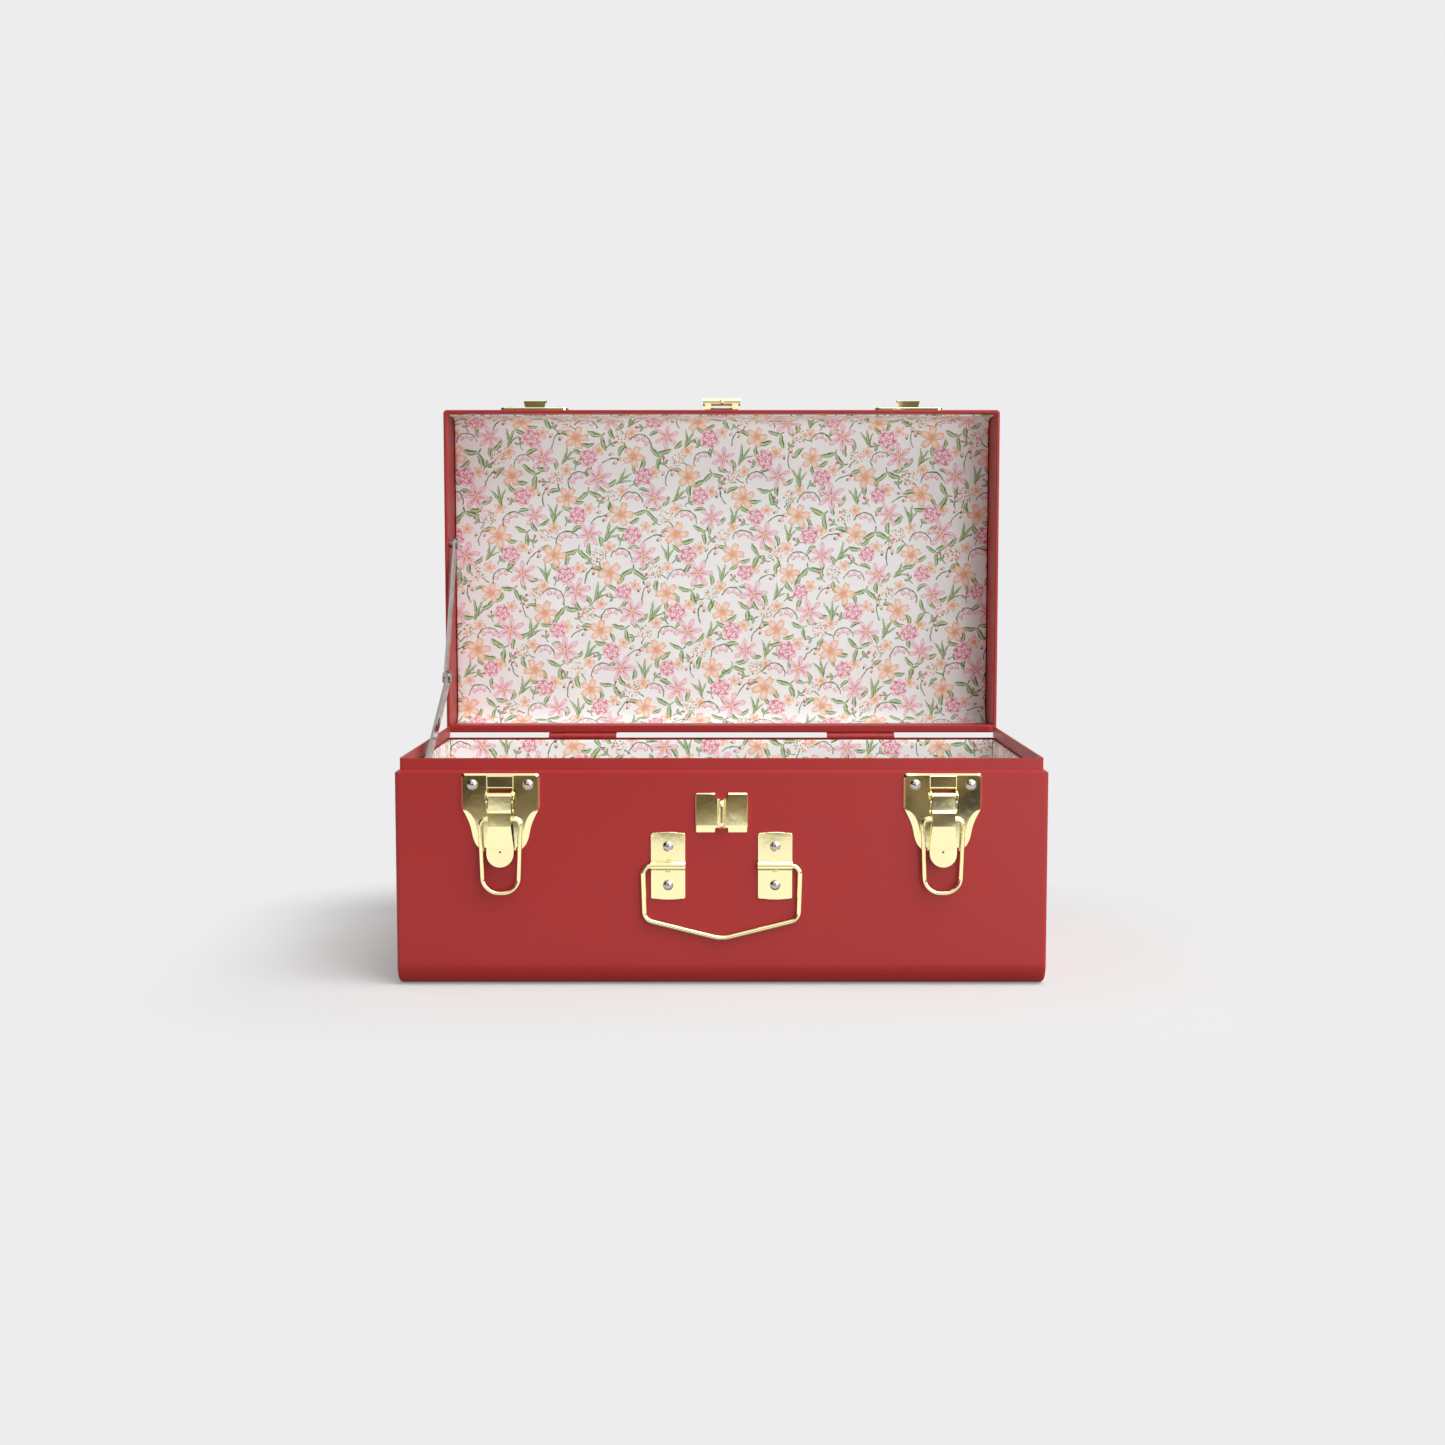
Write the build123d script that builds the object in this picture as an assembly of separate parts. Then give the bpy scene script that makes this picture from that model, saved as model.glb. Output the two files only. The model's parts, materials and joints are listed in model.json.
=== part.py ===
"""Mini trunk in painted sheet metal with a printed lining, modelled open at a right angle.

Millimetres. +X to the right, +Y to the back, +Z up. The origin is the centre of the underside.
"""
import os
from math import atan, atan2, cos, degrees, hypot, radians, sin, tan

from build123d import *

# The trunk as a whole
WIDTH = 300.0
DEPTH = 174.5
LEDGE = 99.1
LID_HEIGHT = 40.0
SHEET = 0.8
BEND = 10.0
EDGE = 2.0
OVERRUN = 5.0

# The stepped lip that the lid closes over
LIP_TOP = 105.6
LIP_INSET = 2.04
SHOULDER = 1.3
LIP_BACK_GAP = 0.4

# The folded rim of the lid
RIM_Z = 100.0
HEM = 1.8
HEM_DEEP = 10.4
BACK_HEM = 4.1
BACK_HEM_DEEP = 12.0
HEM_ROUND = 0.6

# Printed lining on card
LINING = 1.2
LINING_GAP = 0.5
LINING_TOP = 98.0
LINING_END_GAP = 0.4
LINING_BEND = 7.0

# Butt hinges on the back
HINGE_FROM_END = 74.2
HINGE_OUT = 2.25
HINGE_Z = 99.3
HINGE_BARREL_R = 2.1
HINGE_PIN_R = 1.0
HINGE_LEAF = 0.9
HINGE_WIDE = 36.6
HINGE_MIDDLE = 20.0
HINGE_TALL = 17.0
HINGE_SIDE_GAP = 0.15
HINGE_CLEAR = 0.4
HINGE_RIVET_IN = 6.0
HINGE_RIVET_DROP = 10.5

# Fits shared by every hinge and pivot
RUNNING = 0.05
HINGE_STOP = 90.0
FULL_TURN = 360.0

# Rivets
RIVET_R = 2.45
RIVET_TALL = 1.5
RIVET_SHANK_R = 1.2
SMALL_RIVET_R = 1.9
SMALL_RIVET_TALL = 0.9

# Draw latches
LATCH_FROM_END = 48.7
LATCH_TOP = 98.9
LATCH_HALF = 18.0
LATCH_CORNER = 1.8
LATCH_STRAIGHT = 83.3
LATCH_WAIST_HALF = 16.1
LATCH_WAIST_Z = 79.8
LATCH_NECK_HALF = 13.6
LATCH_NECK_Z = 73.4
LATCH_CALF_HALF = 12.8
LATCH_CALF_Z = 69.6
LATCH_FOOT_HALF = 10.7
LATCH_FOOT_Z = 65.2
LATCH_SOLE_HALF = 8.6
LATCH_BOTTOM = 62.9
LATCH_RAISE = 1.8
LATCH_SHELL = 0.8
LATCH_BEVEL = 0.9
LATCH_SKIRT = 2.9
LATCH_SLOPE = 1.1
SOLE_SHARE = 0.4
LATCH_EDGE = 0.45
LATCH_RIVET_X = 12.72
LATCH_RIVET_Z = 93.8
BRIDGE_HALF = 6.3
BRIDGE_BOTTOM = 92.1
BRIDGE_TOP = 98.4
BRIDGE_RAISE = 3.4
BRIDGE_EDGE = 0.8
WINDOW_HALF = 5.3
WINDOW_BOTTOM = 86.3
WINDOW_TOP = 91.6
EAR_IN = 5.55
EAR_THICK = 0.7
EAR_TOP = 92.0
EAR_BOTTOM = 79.0
EAR_R = 2.2
EAR_CORNER = 1.9
PIVOT_Z = 88.6
PIVOT_OUT = 4.2
PIVOT_R = 0.9
PIVOT_HEAD_R = 1.35
PIVOT_HEAD = 0.35

# Latch lever, in heights above the floor and distances out from the front
LEVER_SHEET = 0.9
LEVER_KNUCKLE_R = 1.8
LEVER_DIP_Z = 82.5
LEVER_DIP_OUT = 5.9
LEVER_CREST_Z = 81.3
LEVER_CREST_OUT = 6.8
LEVER_STEP_Z = 75.1
LEVER_STEP_OUT = 6.8
LEVER_FLAT_Z = 64.6
LEVER_FLAT_OUT = 4.7
LEVER_NOSE_Z = 56.3
LEVER_NOSE_OUT = 6.4
LEVER_TOP_HALF = 5.25
LEVER_FACE_HALF = 5.2
LEVER_WIDE_HALF = 6.25
LEVER_NOSE_R = 6.2
LEVER_HOLE_R = 0.5
LEVER_HOLE_Z = 63.1
CHEEK_THICK = 0.7
CHEEK_BACK_OUT = 2.1
CHEEK_TOP = 85.6
CHEEK_BOTTOM = 75.6

# Wire bail on the lever
BAIL_R = 1.05
BAIL_PIVOT_Z = 77.9
BAIL_PIVOT_OUT = 3.35
BAIL_TOP_HALF = 9.25
BAIL_LOW_HALF = 8.1
BAIL_DROP = 34.05
BAIL_SHOULDER = 2.6
BAIL_ROUND = 7.4
BAIL_END_IN = 0.4

# Catch on the lid
CATCH_HALF = 17.9
CATCH_BOTTOM = 102.2
CATCH_TOP = 116.6
CATCH_RAISE = 1.5
CATCH_CORNER = 2.2
CATCH_RIVET_X = 13.2
HOOK_ROOT_HALF = 4.7
HOOK_TIP_HALF = 6.2
HOOK_OUT = 5.7
HOOK_THICK = 1.1
HOOK_RISE = 4.8
HOOK_REST = 0.15

# Padlock staple
STAPLE_HALF = 12.0
STAPLE_TOP = 89.9
STAPLE_BOTTOM = 71.7
STAPLE_BEVEL = 3.3
STAPLE_RAISE = 1.6
STAPLE_EDGE = 0.5
WAIST_HALF = 2.9
WAIST_TOP = 87.4
WAIST_BOTTOM = 73.9
EYE_THICK = 1.8
EYE_OUT = 8.0
EYE_HOLE_R = 1.8
EYE_HOLE_OUT = 5.6
EYE_CORNER = 3.0
EYE_ROUND = 0.5
EYE_FLARE = 1.0
STAPLE_CORNER = 1.0
EYE_ROUND = 0.5
EYE_FLARE = 1.1
STAPLE_CORNER = 1.0

# Hasp on the lid
HASP_OUT = 4.4
HASP_UP = 2.6
HASP_BARREL_R = 2.1
HASP_PIN_R = 0.9
HASP_HALF = 10.1
HASP_FOOT_IN = 5.85
HASP_FOOT_HALF = 9.0
HASP_SHEET = 1.0
HASP_LEAF_TOP = 116.5
HASP_KNUCKLE_GAP = 0.15
HASP_RIVET_X = 5.2
HASP_RIVET_Z = 111.5
FLAP_HALF = 8.8
FLAP_START = 2.7
FLAP_LONG = 32.6
FLAP_ROUND = 6.0
SLOT_PLAY = 0.6
NUB_R = 1.25
NUB_SINK = 0.45

# Carrying handle
HANDLE_R = 1.2
HANDLE_Z = 56.3
HANDLE_OUT = 1.5
HANDLE_BESIDE = 3.65
HANDLE_TAPER = 0.8
HANDLE_CORNER_Z = 31.2
HANDLE_BOTTOM_Z = 22.3
HANDLE_SHOULDER = 4.0
HANDLE_CORNER_R = 4.6
HANDLE_MIDDLE_R = 16.0
STRAP_X = 24.6
STRAP_HALF = 7.95
STRAP_TOP = 71.9
STRAP_BOTTOM = 40.4
STRAP_CROWN = 0.6
STRAP_SHEET = 1.0
STRAP_EDGE = 0.4
STRAP_CORNER = 0.8
STAKE_R = 0.45
STAKE_HALF = 1.3
STAKE_OFF = 2.55
CHANNEL_R = 2.25
HANDLE_END_IN = 1.0
STRAP_RIVET_TOP = 65.2
STRAP_RIVET_BOTTOM = 47.25

# Lid stay on the left side with the lid open, its pivots forward of the hinge axis and above it
STAY_FOR_DEPTH = 174.5
STAY_BASE_FORWARD, STAY_BASE_ABOVE = 125.5, -7.1
STAY_ELBOW_FORWARD, STAY_ELBOW_ABOVE = 35.7, 34.5
STAY_LID_FORWARD, STAY_LID_ABOVE = -9.1, 104.8
STAY_HALF = 4.0
STAY_SHEET = 1.2
STAY_WALL_GAP = 0.5
STAY_GAP = 0.3
STAY_HEAD = 0.7
STAY_HEAD_R = 2.9
STAY_SHANK_R = 1.5
STAY_SPACER_R = 2.0
STAY_SLOT_LONG = 6.0
STAY_SLOT_HALF = 1.3
STAY_SLOT_FROM_PIN = 51.0
BRACKET_SHEET = 1.0
BRACKET_PLAY = 1.3
BRACKET_HALF = 6.5
BRACKET_DROP = 2.5
BRACKET_STUD_DROP = 5.8
MID_TRAVEL_SHARE = 0.47
HALF_SHARE = 0.5

# Planes and axes worked out from the sizes above
FRONT_Y = -DEPTH / 2
BACK_Y = DEPTH / 2
HINGE_Y = BACK_Y + HINGE_OUT
HINGE_X = WIDTH / 2 - HINGE_FROM_END
LATCH_X = WIDTH / 2 - LATCH_FROM_END
HANDLE_HALF = STRAP_X + STRAP_HALF + HANDLE_BESIDE
HANDLE_LOW_HALF = HANDLE_HALF - HANDLE_TAPER
LID_TOP = RIM_Z + LID_HEIGHT
LIP_BACK_Y = BACK_Y - BACK_HEM - LIP_BACK_GAP
HINGE_AXIS = Axis((0, HINGE_Y, HINGE_Z), (1, 0, 0))
HASP_Z = RIM_Z + HASP_UP


def opened(shape):
    """Swing a piece of the closed lid up to where the open lid stands."""
    return shape.rotate(HINGE_AXIS, -HINGE_STOP)


def front(x=0.0):
    """Plane on the front: local x to the right, y up from the floor, z out of the face."""
    return Plane(origin=(x, FRONT_Y, 0), x_dir=(1, 0, 0), z_dir=(0, -1, 0))


def block(x0, x1, y0, y1, z0, z1):
    """Box between two corners."""
    size = (x1 - x0, y1 - y0, z1 - z0)
    return Pos(x0, y0, z0) * Box(*size, align=(Align.MIN, Align.MIN, Align.MIN))


def across(points, x0, x1):
    """Extrude an outline of (out, height) points along local x."""
    plane = Plane(origin=(x0, 0, 0), x_dir=(0, 0, 1), z_dir=(-1, 0, 0))
    face = make_face(Polyline(*points, close=True))
    return extrude(plane * face, -(x1 - x0))


def rod(radius, x0, x1, height, out):
    """Round bar along local x at a height and a distance out."""
    bar = Cylinder(radius, x1 - x0, align=(Align.CENTER, Align.CENTER, Align.MIN))
    return Pos(x0, height, out) * Rot(0, 90, 0) * bar


def dome_rivet(x, height, out, radius=RIVET_R, tall=RIVET_TALL):
    """Dome-headed rivet standing out of local z, its shank down to the face."""
    ball = (radius ** 2 + tall ** 2) / (2 * tall)
    head = Pos(x, height, out + tall - ball) * Sphere(ball)
    slab = Pos(x, height, out) * Cylinder(radius + tall, tall * 2, align=(Align.CENTER, Align.CENTER, Align.MIN))
    shank = Pos(x, height, 0) * Cylinder(RIVET_SHANK_R, out, align=(Align.CENTER, Align.CENTER, Align.MIN))
    return (head & slab) + shank


def rivet_hole(x, height, deep):
    """Cutter for the hole that a rivet's shank fills."""
    return Pos(x, height, 0) * Cylinder(RIVET_SHANK_R, deep, align=(Align.CENTER, Align.CENTER, Align.CENTER))


# Sheet metal body

def side_block(inset, z0, z1, bend):
    """Block with its lower front and back corners bent round, and its end edges eased."""
    half = DEPTH / 2 - inset
    outline = Plane.YZ * (Pos(0, (z0 + z1) / 2) * Rectangle(2 * half, z1 - z0))
    bottom = outline.vertices().sort_by(Axis.Z)[:2]
    outline = fillet(bottom, bend)
    body = extrude(outline, WIDTH / 2 - inset, both=True)
    ends = body.faces().sort_by(Axis.X)[0].edges() + body.faces().sort_by(Axis.X)[-1].edges()
    rims = [e for e in ends if e.center().Z < z1 - RUNNING]
    return fillet(rims, EDGE - inset)


def lip_block(inset, z0, z1, radius):
    """Straight block of the lip, with upright corners eased."""
    sketch = Plane.XY.offset(z0) * RectangleRounded(WIDTH - 2 * inset, DEPTH - 2 * inset, radius)
    return extrude(sketch, z1 - z0)


def shoulder_block(inset, z0):
    """Sloped step from the wall in to the lip."""
    low = Plane.XY.offset(z0) * RectangleRounded(WIDTH - 2 * inset, DEPTH - 2 * inset, EDGE - inset)
    inner = inset + LIP_INSET
    high = Plane.XY.offset(z0 + SHOULDER) * RectangleRounded(WIDTH - 2 * inner, DEPTH - 2 * inner, EDGE - inset)
    return loft([low.face(), high.face()])


def base_volume(inset, drop, top):
    """Outside of the base, or its inside when inset by the sheet."""
    ledge = LEDGE - drop
    lower = side_block(inset, inset, ledge, BEND - inset)
    upper = lip_block(inset + LIP_INSET, ledge + SHOULDER, top, EDGE - inset)
    return lower + shoulder_block(inset, ledge) + upper


def base_shell():
    """Whole base in sheet metal, before it is parted into wrap and end plates."""
    slope = atan(LIP_INSET / SHOULDER)
    drop = SHEET * tan(slope / 2)
    shell = base_volume(0.0, 0.0, LIP_TOP) - base_volume(SHEET, drop, LIP_TOP + OVERRUN)
    rear = block(-WIDTH, WIDTH, LIP_BACK_Y, DEPTH, LEDGE, LIP_TOP + OVERRUN)
    return shell - rear


def base_end_zone(side):
    """Space that holds one end plate of the base with its part of the lip."""
    outer = side * WIDTH
    plate = sorted((side * (WIDTH / 2 - SHEET), outer))
    lip = sorted((side * (WIDTH / 2 - SHEET - LIP_INSET), outer))
    low = LEDGE - SHEET
    return (block(plate[0], plate[1], -DEPTH, DEPTH, -OVERRUN, LIP_TOP + OVERRUN)
            + block(lip[0], lip[1], -DEPTH, DEPTH, low, LIP_TOP + OVERRUN))


def lid_volume(inset, reach):
    """Outside of the closed lid, or its inside when inset by the sheet, down to a reach below the top."""
    body = side_block(inset, inset, reach, BEND - inset)
    return Pos(0, 0, LID_TOP) * Rot(180, 0, 0) * body


def hem_ring():
    """Folded rim round the mouth of the lid, thicker along the hinge side."""
    ring = lip_block(0.0, RIM_Z, RIM_Z + HEM_DEEP, EDGE)
    ring -= lip_block(HEM, RIM_Z - OVERRUN, RIM_Z + HEM_DEEP + OVERRUN, EDGE / 2)
    inner = WIDTH / 2 - SHEET
    back = block(-inner, inner, BACK_Y - BACK_HEM, BACK_Y - SHEET, RIM_Z, RIM_Z + BACK_HEM_DEEP)
    return ring + back


def lid_shell():
    """Whole closed lid in sheet metal, before it is parted into wrap and end plates."""
    shell = lid_volume(0.0, LID_HEIGHT) - lid_volume(SHEET, LID_HEIGHT + OVERRUN)
    shell += hem_ring()
    mouth = shell.faces().filter_by(Axis.Z).sort_by(Axis.Z)[0]
    return fillet(mouth.edges(), HEM_ROUND)


def lid_end_zone(side):
    """Space that holds one end plate of the closed lid with its part of the rim."""
    outer = side * WIDTH
    plate = sorted((side * (WIDTH / 2 - SHEET), outer))
    rim = sorted((side * (WIDTH / 2 - HEM), outer))
    return (block(plate[0], plate[1], -DEPTH, DEPTH, RIM_Z - OVERRUN, LID_TOP + OVERRUN)
            + block(rim[0], rim[1], FRONT_Y + HEM, BACK_Y - BACK_HEM, RIM_Z - OVERRUN, RIM_Z + HEM_DEEP))


# Printed lining

def bent_strip(half_y, z_flat, z_edges, half_x, bend, thick):
    """Lining bent as a channel: two upright sides and a flat web at z_flat."""
    path = FilletPolyline((-half_y, z_edges[0]), (-half_y, z_flat), (half_y, z_flat), (half_y, z_edges[1]), radius=bend)
    side = Side.LEFT if z_edges[0] > z_flat else Side.RIGHT
    face = make_face(offset(path, thick, side=side))
    return extrude(Plane.YZ * face, half_x, both=True)


def base_lining_strip():
    """Lining of the front, floor and back of the base."""
    seat = SHEET + LINING_GAP
    half_x = WIDTH / 2 - seat - LINING - LINING_END_GAP
    return bent_strip(DEPTH / 2 - seat, seat, (LINING_TOP, LINING_TOP), half_x, BEND - seat, LINING)


def base_lining_end(side):
    """Lining panel on one end plate of the base."""
    seat = SHEET + LINING_GAP
    half = DEPTH / 2 - seat
    panel = Plane.YZ * (Pos(0, (LINING_TOP + seat) / 2) * Rectangle(2 * half, LINING_TOP - seat))
    panel = fillet(panel.vertices().sort_by(Axis.Z)[:2], BEND - seat)
    inner = WIDTH / 2 - seat - LINING
    solid = Pos(inner, 0, 0) * extrude(panel, LINING)
    return solid if side > 0 else mirror(solid, about=Plane.YZ)


def lid_lining_strip():
    """Lining of the front, panel and back of the closed lid, up to its rim."""
    seat = SHEET + LINING_GAP
    web = LID_TOP - seat
    edges = (RIM_Z + HEM_DEEP + LINING_END_GAP, RIM_Z + BACK_HEM_DEEP + LINING_END_GAP)
    half_x = WIDTH / 2 - SHEET - LINING_END_GAP
    return bent_strip(DEPTH / 2 - seat, web, edges, half_x, BEND - seat, LINING)


# Hinges on the back, drawn about their axis with the lid closed

def knuckle(x0, x1):
    """Rolled knuckle between two places along the hinge axis."""
    ring = Cylinder(HINGE_BARREL_R, x1 - x0) - Cylinder(HINGE_PIN_R + RUNNING, x1 - x0)
    return Pos((x0 + x1) / 2, HINGE_Y, HINGE_Z) * Rot(0, 90, 0) * ring


def leaf_sheet(x0, x1, z0, z1):
    """Flat of a leaf against the back of the trunk."""
    return block(x0, x1, BACK_Y, BACK_Y + HINGE_LEAF, z0, z1)


def bore_out(shape, x):
    """Clear the pin's hole through a leaf."""
    drill = Cylinder(HINGE_PIN_R + RUNNING, HINGE_WIDE + OVERRUN)
    return shape - Pos(x, HINGE_Y, HINGE_Z) * Rot(0, 90, 0) * drill


def hinge_base_leaf(x):
    """Leaf on the base, with the two outer knuckles."""
    half, mid = HINGE_WIDE / 2, HINGE_MIDDLE / 2
    step = HINGE_BARREL_R + HINGE_CLEAR
    leaf = leaf_sheet(x - half, x + half, HINGE_Z - HINGE_TALL, HINGE_Z - step)
    for x0, x1 in ((x - half, x - mid), (x + mid, x + half)):
        leaf += leaf_sheet(x0, x1, HINGE_Z - step, HINGE_Z) + knuckle(x0, x1)
    leaf = bore_out(leaf, x)
    for rivet in hinge_rivet_places(x, -HINGE_RIVET_DROP):
        leaf -= back_rivet(*rivet, hole=True)
    return leaf


def hinge_lid_leaf(x):
    """Leaf on the closed lid, with the middle knuckle."""
    half, mid = HINGE_WIDE / 2, HINGE_MIDDLE / 2 - HINGE_SIDE_GAP
    step = HINGE_BARREL_R + HINGE_CLEAR
    leaf = leaf_sheet(x - half, x + half, HINGE_Z + step, HINGE_Z + HINGE_TALL)
    leaf += leaf_sheet(x - mid, x + mid, HINGE_Z, HINGE_Z + step) + knuckle(x - mid, x + mid)
    leaf = bore_out(leaf, x)
    for rivet in hinge_rivet_places(x, HINGE_RIVET_DROP):
        leaf -= back_rivet(*rivet, hole=True)
    return leaf


def hinge_pin(x):
    """Plain pin through the three knuckles."""
    return Pos(x, HINGE_Y, HINGE_Z) * Rot(0, 90, 0) * Cylinder(HINGE_PIN_R, HINGE_WIDE)


def hinge_rivet_places(x, rise):
    """Centres of the two rivets of one leaf, as x and height."""
    reach = HINGE_WIDE / 2 - HINGE_RIVET_IN
    return [(x - reach, HINGE_Z + rise), (x + reach, HINGE_Z + rise)]


def back_rivet(x, z, hole=False):
    """Small rivet standing out of the back, or the hole for its shank."""
    back = Plane(origin=(0, BACK_Y, 0), x_dir=(-1, 0, 0), z_dir=(0, 1, 0))
    if hole:
        return back * rivet_hole(-x, z, HINGE_LEAF * 4)
    return back * dome_rivet(-x, z, HINGE_LEAF, SMALL_RIVET_R, SMALL_RIVET_TALL)


# Draw latch, in the local frame of the front: x across, y height, z out

def latch_outline(side, skirt):
    """Plate outline drawn in at its sides and skirt: square shoulders, then an ogee to a narrow foot."""
    half = LATCH_HALF - side
    top = LATCH_TOP - side
    foot = LATCH_FOOT_HALF - skirt
    sole = LATCH_SOLE_HALF - skirt
    bottom = LATCH_BOTTOM + skirt * SOLE_SHARE
    right = [(half, LATCH_STRAIGHT), (LATCH_WAIST_HALF - skirt, LATCH_WAIST_Z), (LATCH_NECK_HALF - skirt, LATCH_NECK_Z),
             (LATCH_CALF_HALF - skirt, LATCH_CALF_Z), (foot, LATCH_FOOT_Z)]
    left = [(-x, y) for x, y in right]
    lean = half - (LATCH_WAIST_HALF - skirt)
    drop = LATCH_STRAIGHT - LATCH_WAIST_Z
    lines = [
        Line((-half, LATCH_STRAIGHT), (-half, top)),
        Line((-half, top), (half, top)),
        Line((half, top), (half, LATCH_STRAIGHT)),
        Spline(*right, tangents=[(-lean, -drop), (-drop, -drop)]),
        Line((foot, LATCH_FOOT_Z), (sole, bottom)),
        Line((sole, bottom), (-sole, bottom)),
        Line((-sole, bottom), (-foot, LATCH_FOOT_Z)),
        Spline(*left, tangents=[(lean, -drop), (drop, -drop)]),
    ]
    face = make_face(lines)
    corners = face.vertices().filter_by(lambda v: abs(v.Y - top) < LATCH_EDGE)
    return fillet(corners, LATCH_CORNER - side / 2)


def latch_hollow():
    """Space behind the pressed plate."""
    inner = LATCH_BEVEL + LATCH_SHELL
    skirt = LATCH_SKIRT + LATCH_SHELL
    right = [(LATCH_HALF - inner, LATCH_TOP - inner), (LATCH_HALF - inner, LATCH_STRAIGHT + inner / 2),
             (LATCH_WAIST_HALF - skirt, LATCH_WAIST_Z), (LATCH_NECK_HALF - skirt, LATCH_NECK_Z),
             (LATCH_FOOT_HALF - skirt, LATCH_BOTTOM + skirt)]
    left = [(-x, y) for x, y in reversed(right)]
    return extrude(make_face(Polyline(*right, *left, close=True)), LATCH_RAISE - LATCH_SHELL)


def latch_ear(x0):
    """Upright ear that carries the lever's pin."""
    reach = PIVOT_OUT + EAR_R
    points = [(LATCH_SHELL, EAR_TOP), (reach, PIVOT_Z + EAR_R), (reach, PIVOT_Z - EAR_R), (LATCH_SHELL, EAR_BOTTOM)]
    ear = across(points, x0, x0 + EAR_THICK)
    outer = ear.edges().filter_by(Axis.X).sort_by(Axis.Z)[-2:]
    return fillet(outer, EAR_CORNER)


def latch_plate():
    """Pressed plate with bevelled edges, bridge, window and ears."""
    outline = latch_outline(0, 0)
    crown = latch_outline(LATCH_BEVEL, LATCH_SKIRT)
    plate = extrude(outline, LATCH_RAISE - LATCH_SLOPE)
    plate += loft([Pos(0, 0, LATCH_RAISE - LATCH_SLOPE) * outline, Pos(0, 0, LATCH_RAISE) * crown], ruled=True)
    plate -= latch_hollow()
    bridge = block(-BRIDGE_HALF, BRIDGE_HALF, BRIDGE_BOTTOM, BRIDGE_TOP, LATCH_RAISE - LATCH_SHELL, BRIDGE_RAISE)
    plate += fillet(bridge.faces().sort_by(Axis.Z)[-1].edges(), BRIDGE_EDGE)
    plate -= block(-WINDOW_HALF, WINDOW_HALF, WINDOW_BOTTOM, WINDOW_TOP, -OVERRUN, LATCH_RAISE + OVERRUN)
    plate += latch_ear(EAR_IN) + latch_ear(-EAR_IN - EAR_THICK)
    plate -= rod(PIVOT_R, -LATCH_HALF, LATCH_HALF, PIVOT_Z, PIVOT_OUT)
    for x in (-LATCH_RIVET_X, LATCH_RIVET_X):
        plate -= rivet_hole(x, LATCH_RIVET_Z, LATCH_RAISE * 4)
    return plate


def latch_pin():
    """Pivot pin with a small head outside each ear."""
    end = EAR_IN + EAR_THICK
    pin = rod(PIVOT_R, -end, end, PIVOT_Z, PIVOT_OUT)
    heads = rod(PIVOT_HEAD_R, -end - PIVOT_HEAD, -end, PIVOT_Z, PIVOT_OUT)
    return pin + heads + rod(PIVOT_HEAD_R, end, end + PIVOT_HEAD, PIVOT_Z, PIVOT_OUT)


def lever_profile():
    """Side view of the lever's folded strip, as (out, height), from the pin down to the nose."""
    top = (PIVOT_OUT + LEVER_KNUCKLE_R, PIVOT_Z)
    points = [top, (LEVER_DIP_OUT, LEVER_DIP_Z), (LEVER_CREST_OUT, LEVER_CREST_Z), (LEVER_STEP_OUT, LEVER_STEP_Z),
              (LEVER_FLAT_OUT, LEVER_FLAT_Z), (LEVER_NOSE_OUT, LEVER_NOSE_Z)]
    back = [(out - LEVER_SHEET, height) for out, height in reversed(points)]
    return points + back


def lever_front():
    """Front view of the lever: narrow at the pin, wider at the thumb, round at the nose."""
    centre = LEVER_NOSE_Z + LEVER_NOSE_R
    tip = LEVER_KNUCKLE_R + PIVOT_Z
    half = [(LEVER_TOP_HALF, tip), (LEVER_FACE_HALF, LEVER_STEP_Z), (LEVER_WIDE_HALF, LEVER_FLAT_Z),
            (LEVER_NOSE_R, centre)]
    right = Polyline(*half)
    left = Polyline(*[(-x, y) for x, y in half])
    nose = ThreePointArc((LEVER_NOSE_R, centre), (0, LEVER_NOSE_Z), (-LEVER_NOSE_R, centre))
    top = Line((-LEVER_TOP_HALF, tip), (LEVER_TOP_HALF, tip))
    return make_face([*right.edges(), *left.edges(), nose, top])


def lever():
    """Folded lever: knuckle round the pin, crested strip, rounded thumb tab and two cheeks."""
    body = across(lever_profile(), -LEVER_WIDE_HALF, LEVER_WIDE_HALF)
    folds = body.edges().filter_by(Axis.X)
    body = fillet([e for e in folds if LEVER_FLAT_Z - EAR_R < e.center().Y < LEVER_CREST_Z + EAR_R], LEVER_SHEET / 3)
    body += rod(LEVER_KNUCKLE_R, -LEVER_TOP_HALF, LEVER_TOP_HALF, PIVOT_Z, PIVOT_OUT)
    cheek = [(CHEEK_BACK_OUT, CHEEK_TOP), (LEVER_CREST_OUT - LEVER_SHEET, LEVER_CREST_Z),
             (LEVER_STEP_OUT - LEVER_SHEET / 2, CHEEK_BOTTOM), (CHEEK_BACK_OUT, CHEEK_BOTTOM)]
    for x0 in (-LEVER_FACE_HALF, LEVER_FACE_HALF - CHEEK_THICK):
        body += across(cheek, x0, x0 + CHEEK_THICK)
    body = body & extrude(lever_front(), PIVOT_OUT * 4)
    body -= Pos(0, LEVER_HOLE_Z) * Cylinder(LEVER_HOLE_R, PIVOT_OUT * 4)
    body -= rod(PIVOT_R + RUNNING, -LATCH_HALF, LATCH_HALF, PIVOT_Z, PIVOT_OUT)
    return body - rod(BAIL_R + RUNNING, -LATCH_HALF, LATCH_HALF, BAIL_PIVOT_Z, BAIL_PIVOT_OUT)


def bent_wire(points, radii, radius, out):
    """Round wire along filleted runs in the plane parallel to the front at a distance out."""
    path = Pos(0, 0, out) * FilletPolyline(*points, radius=radii)
    section = Plane(origin=path @ 0, z_dir=path % 0) * Circle(radius)
    return sweep(section, path=path)


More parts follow.
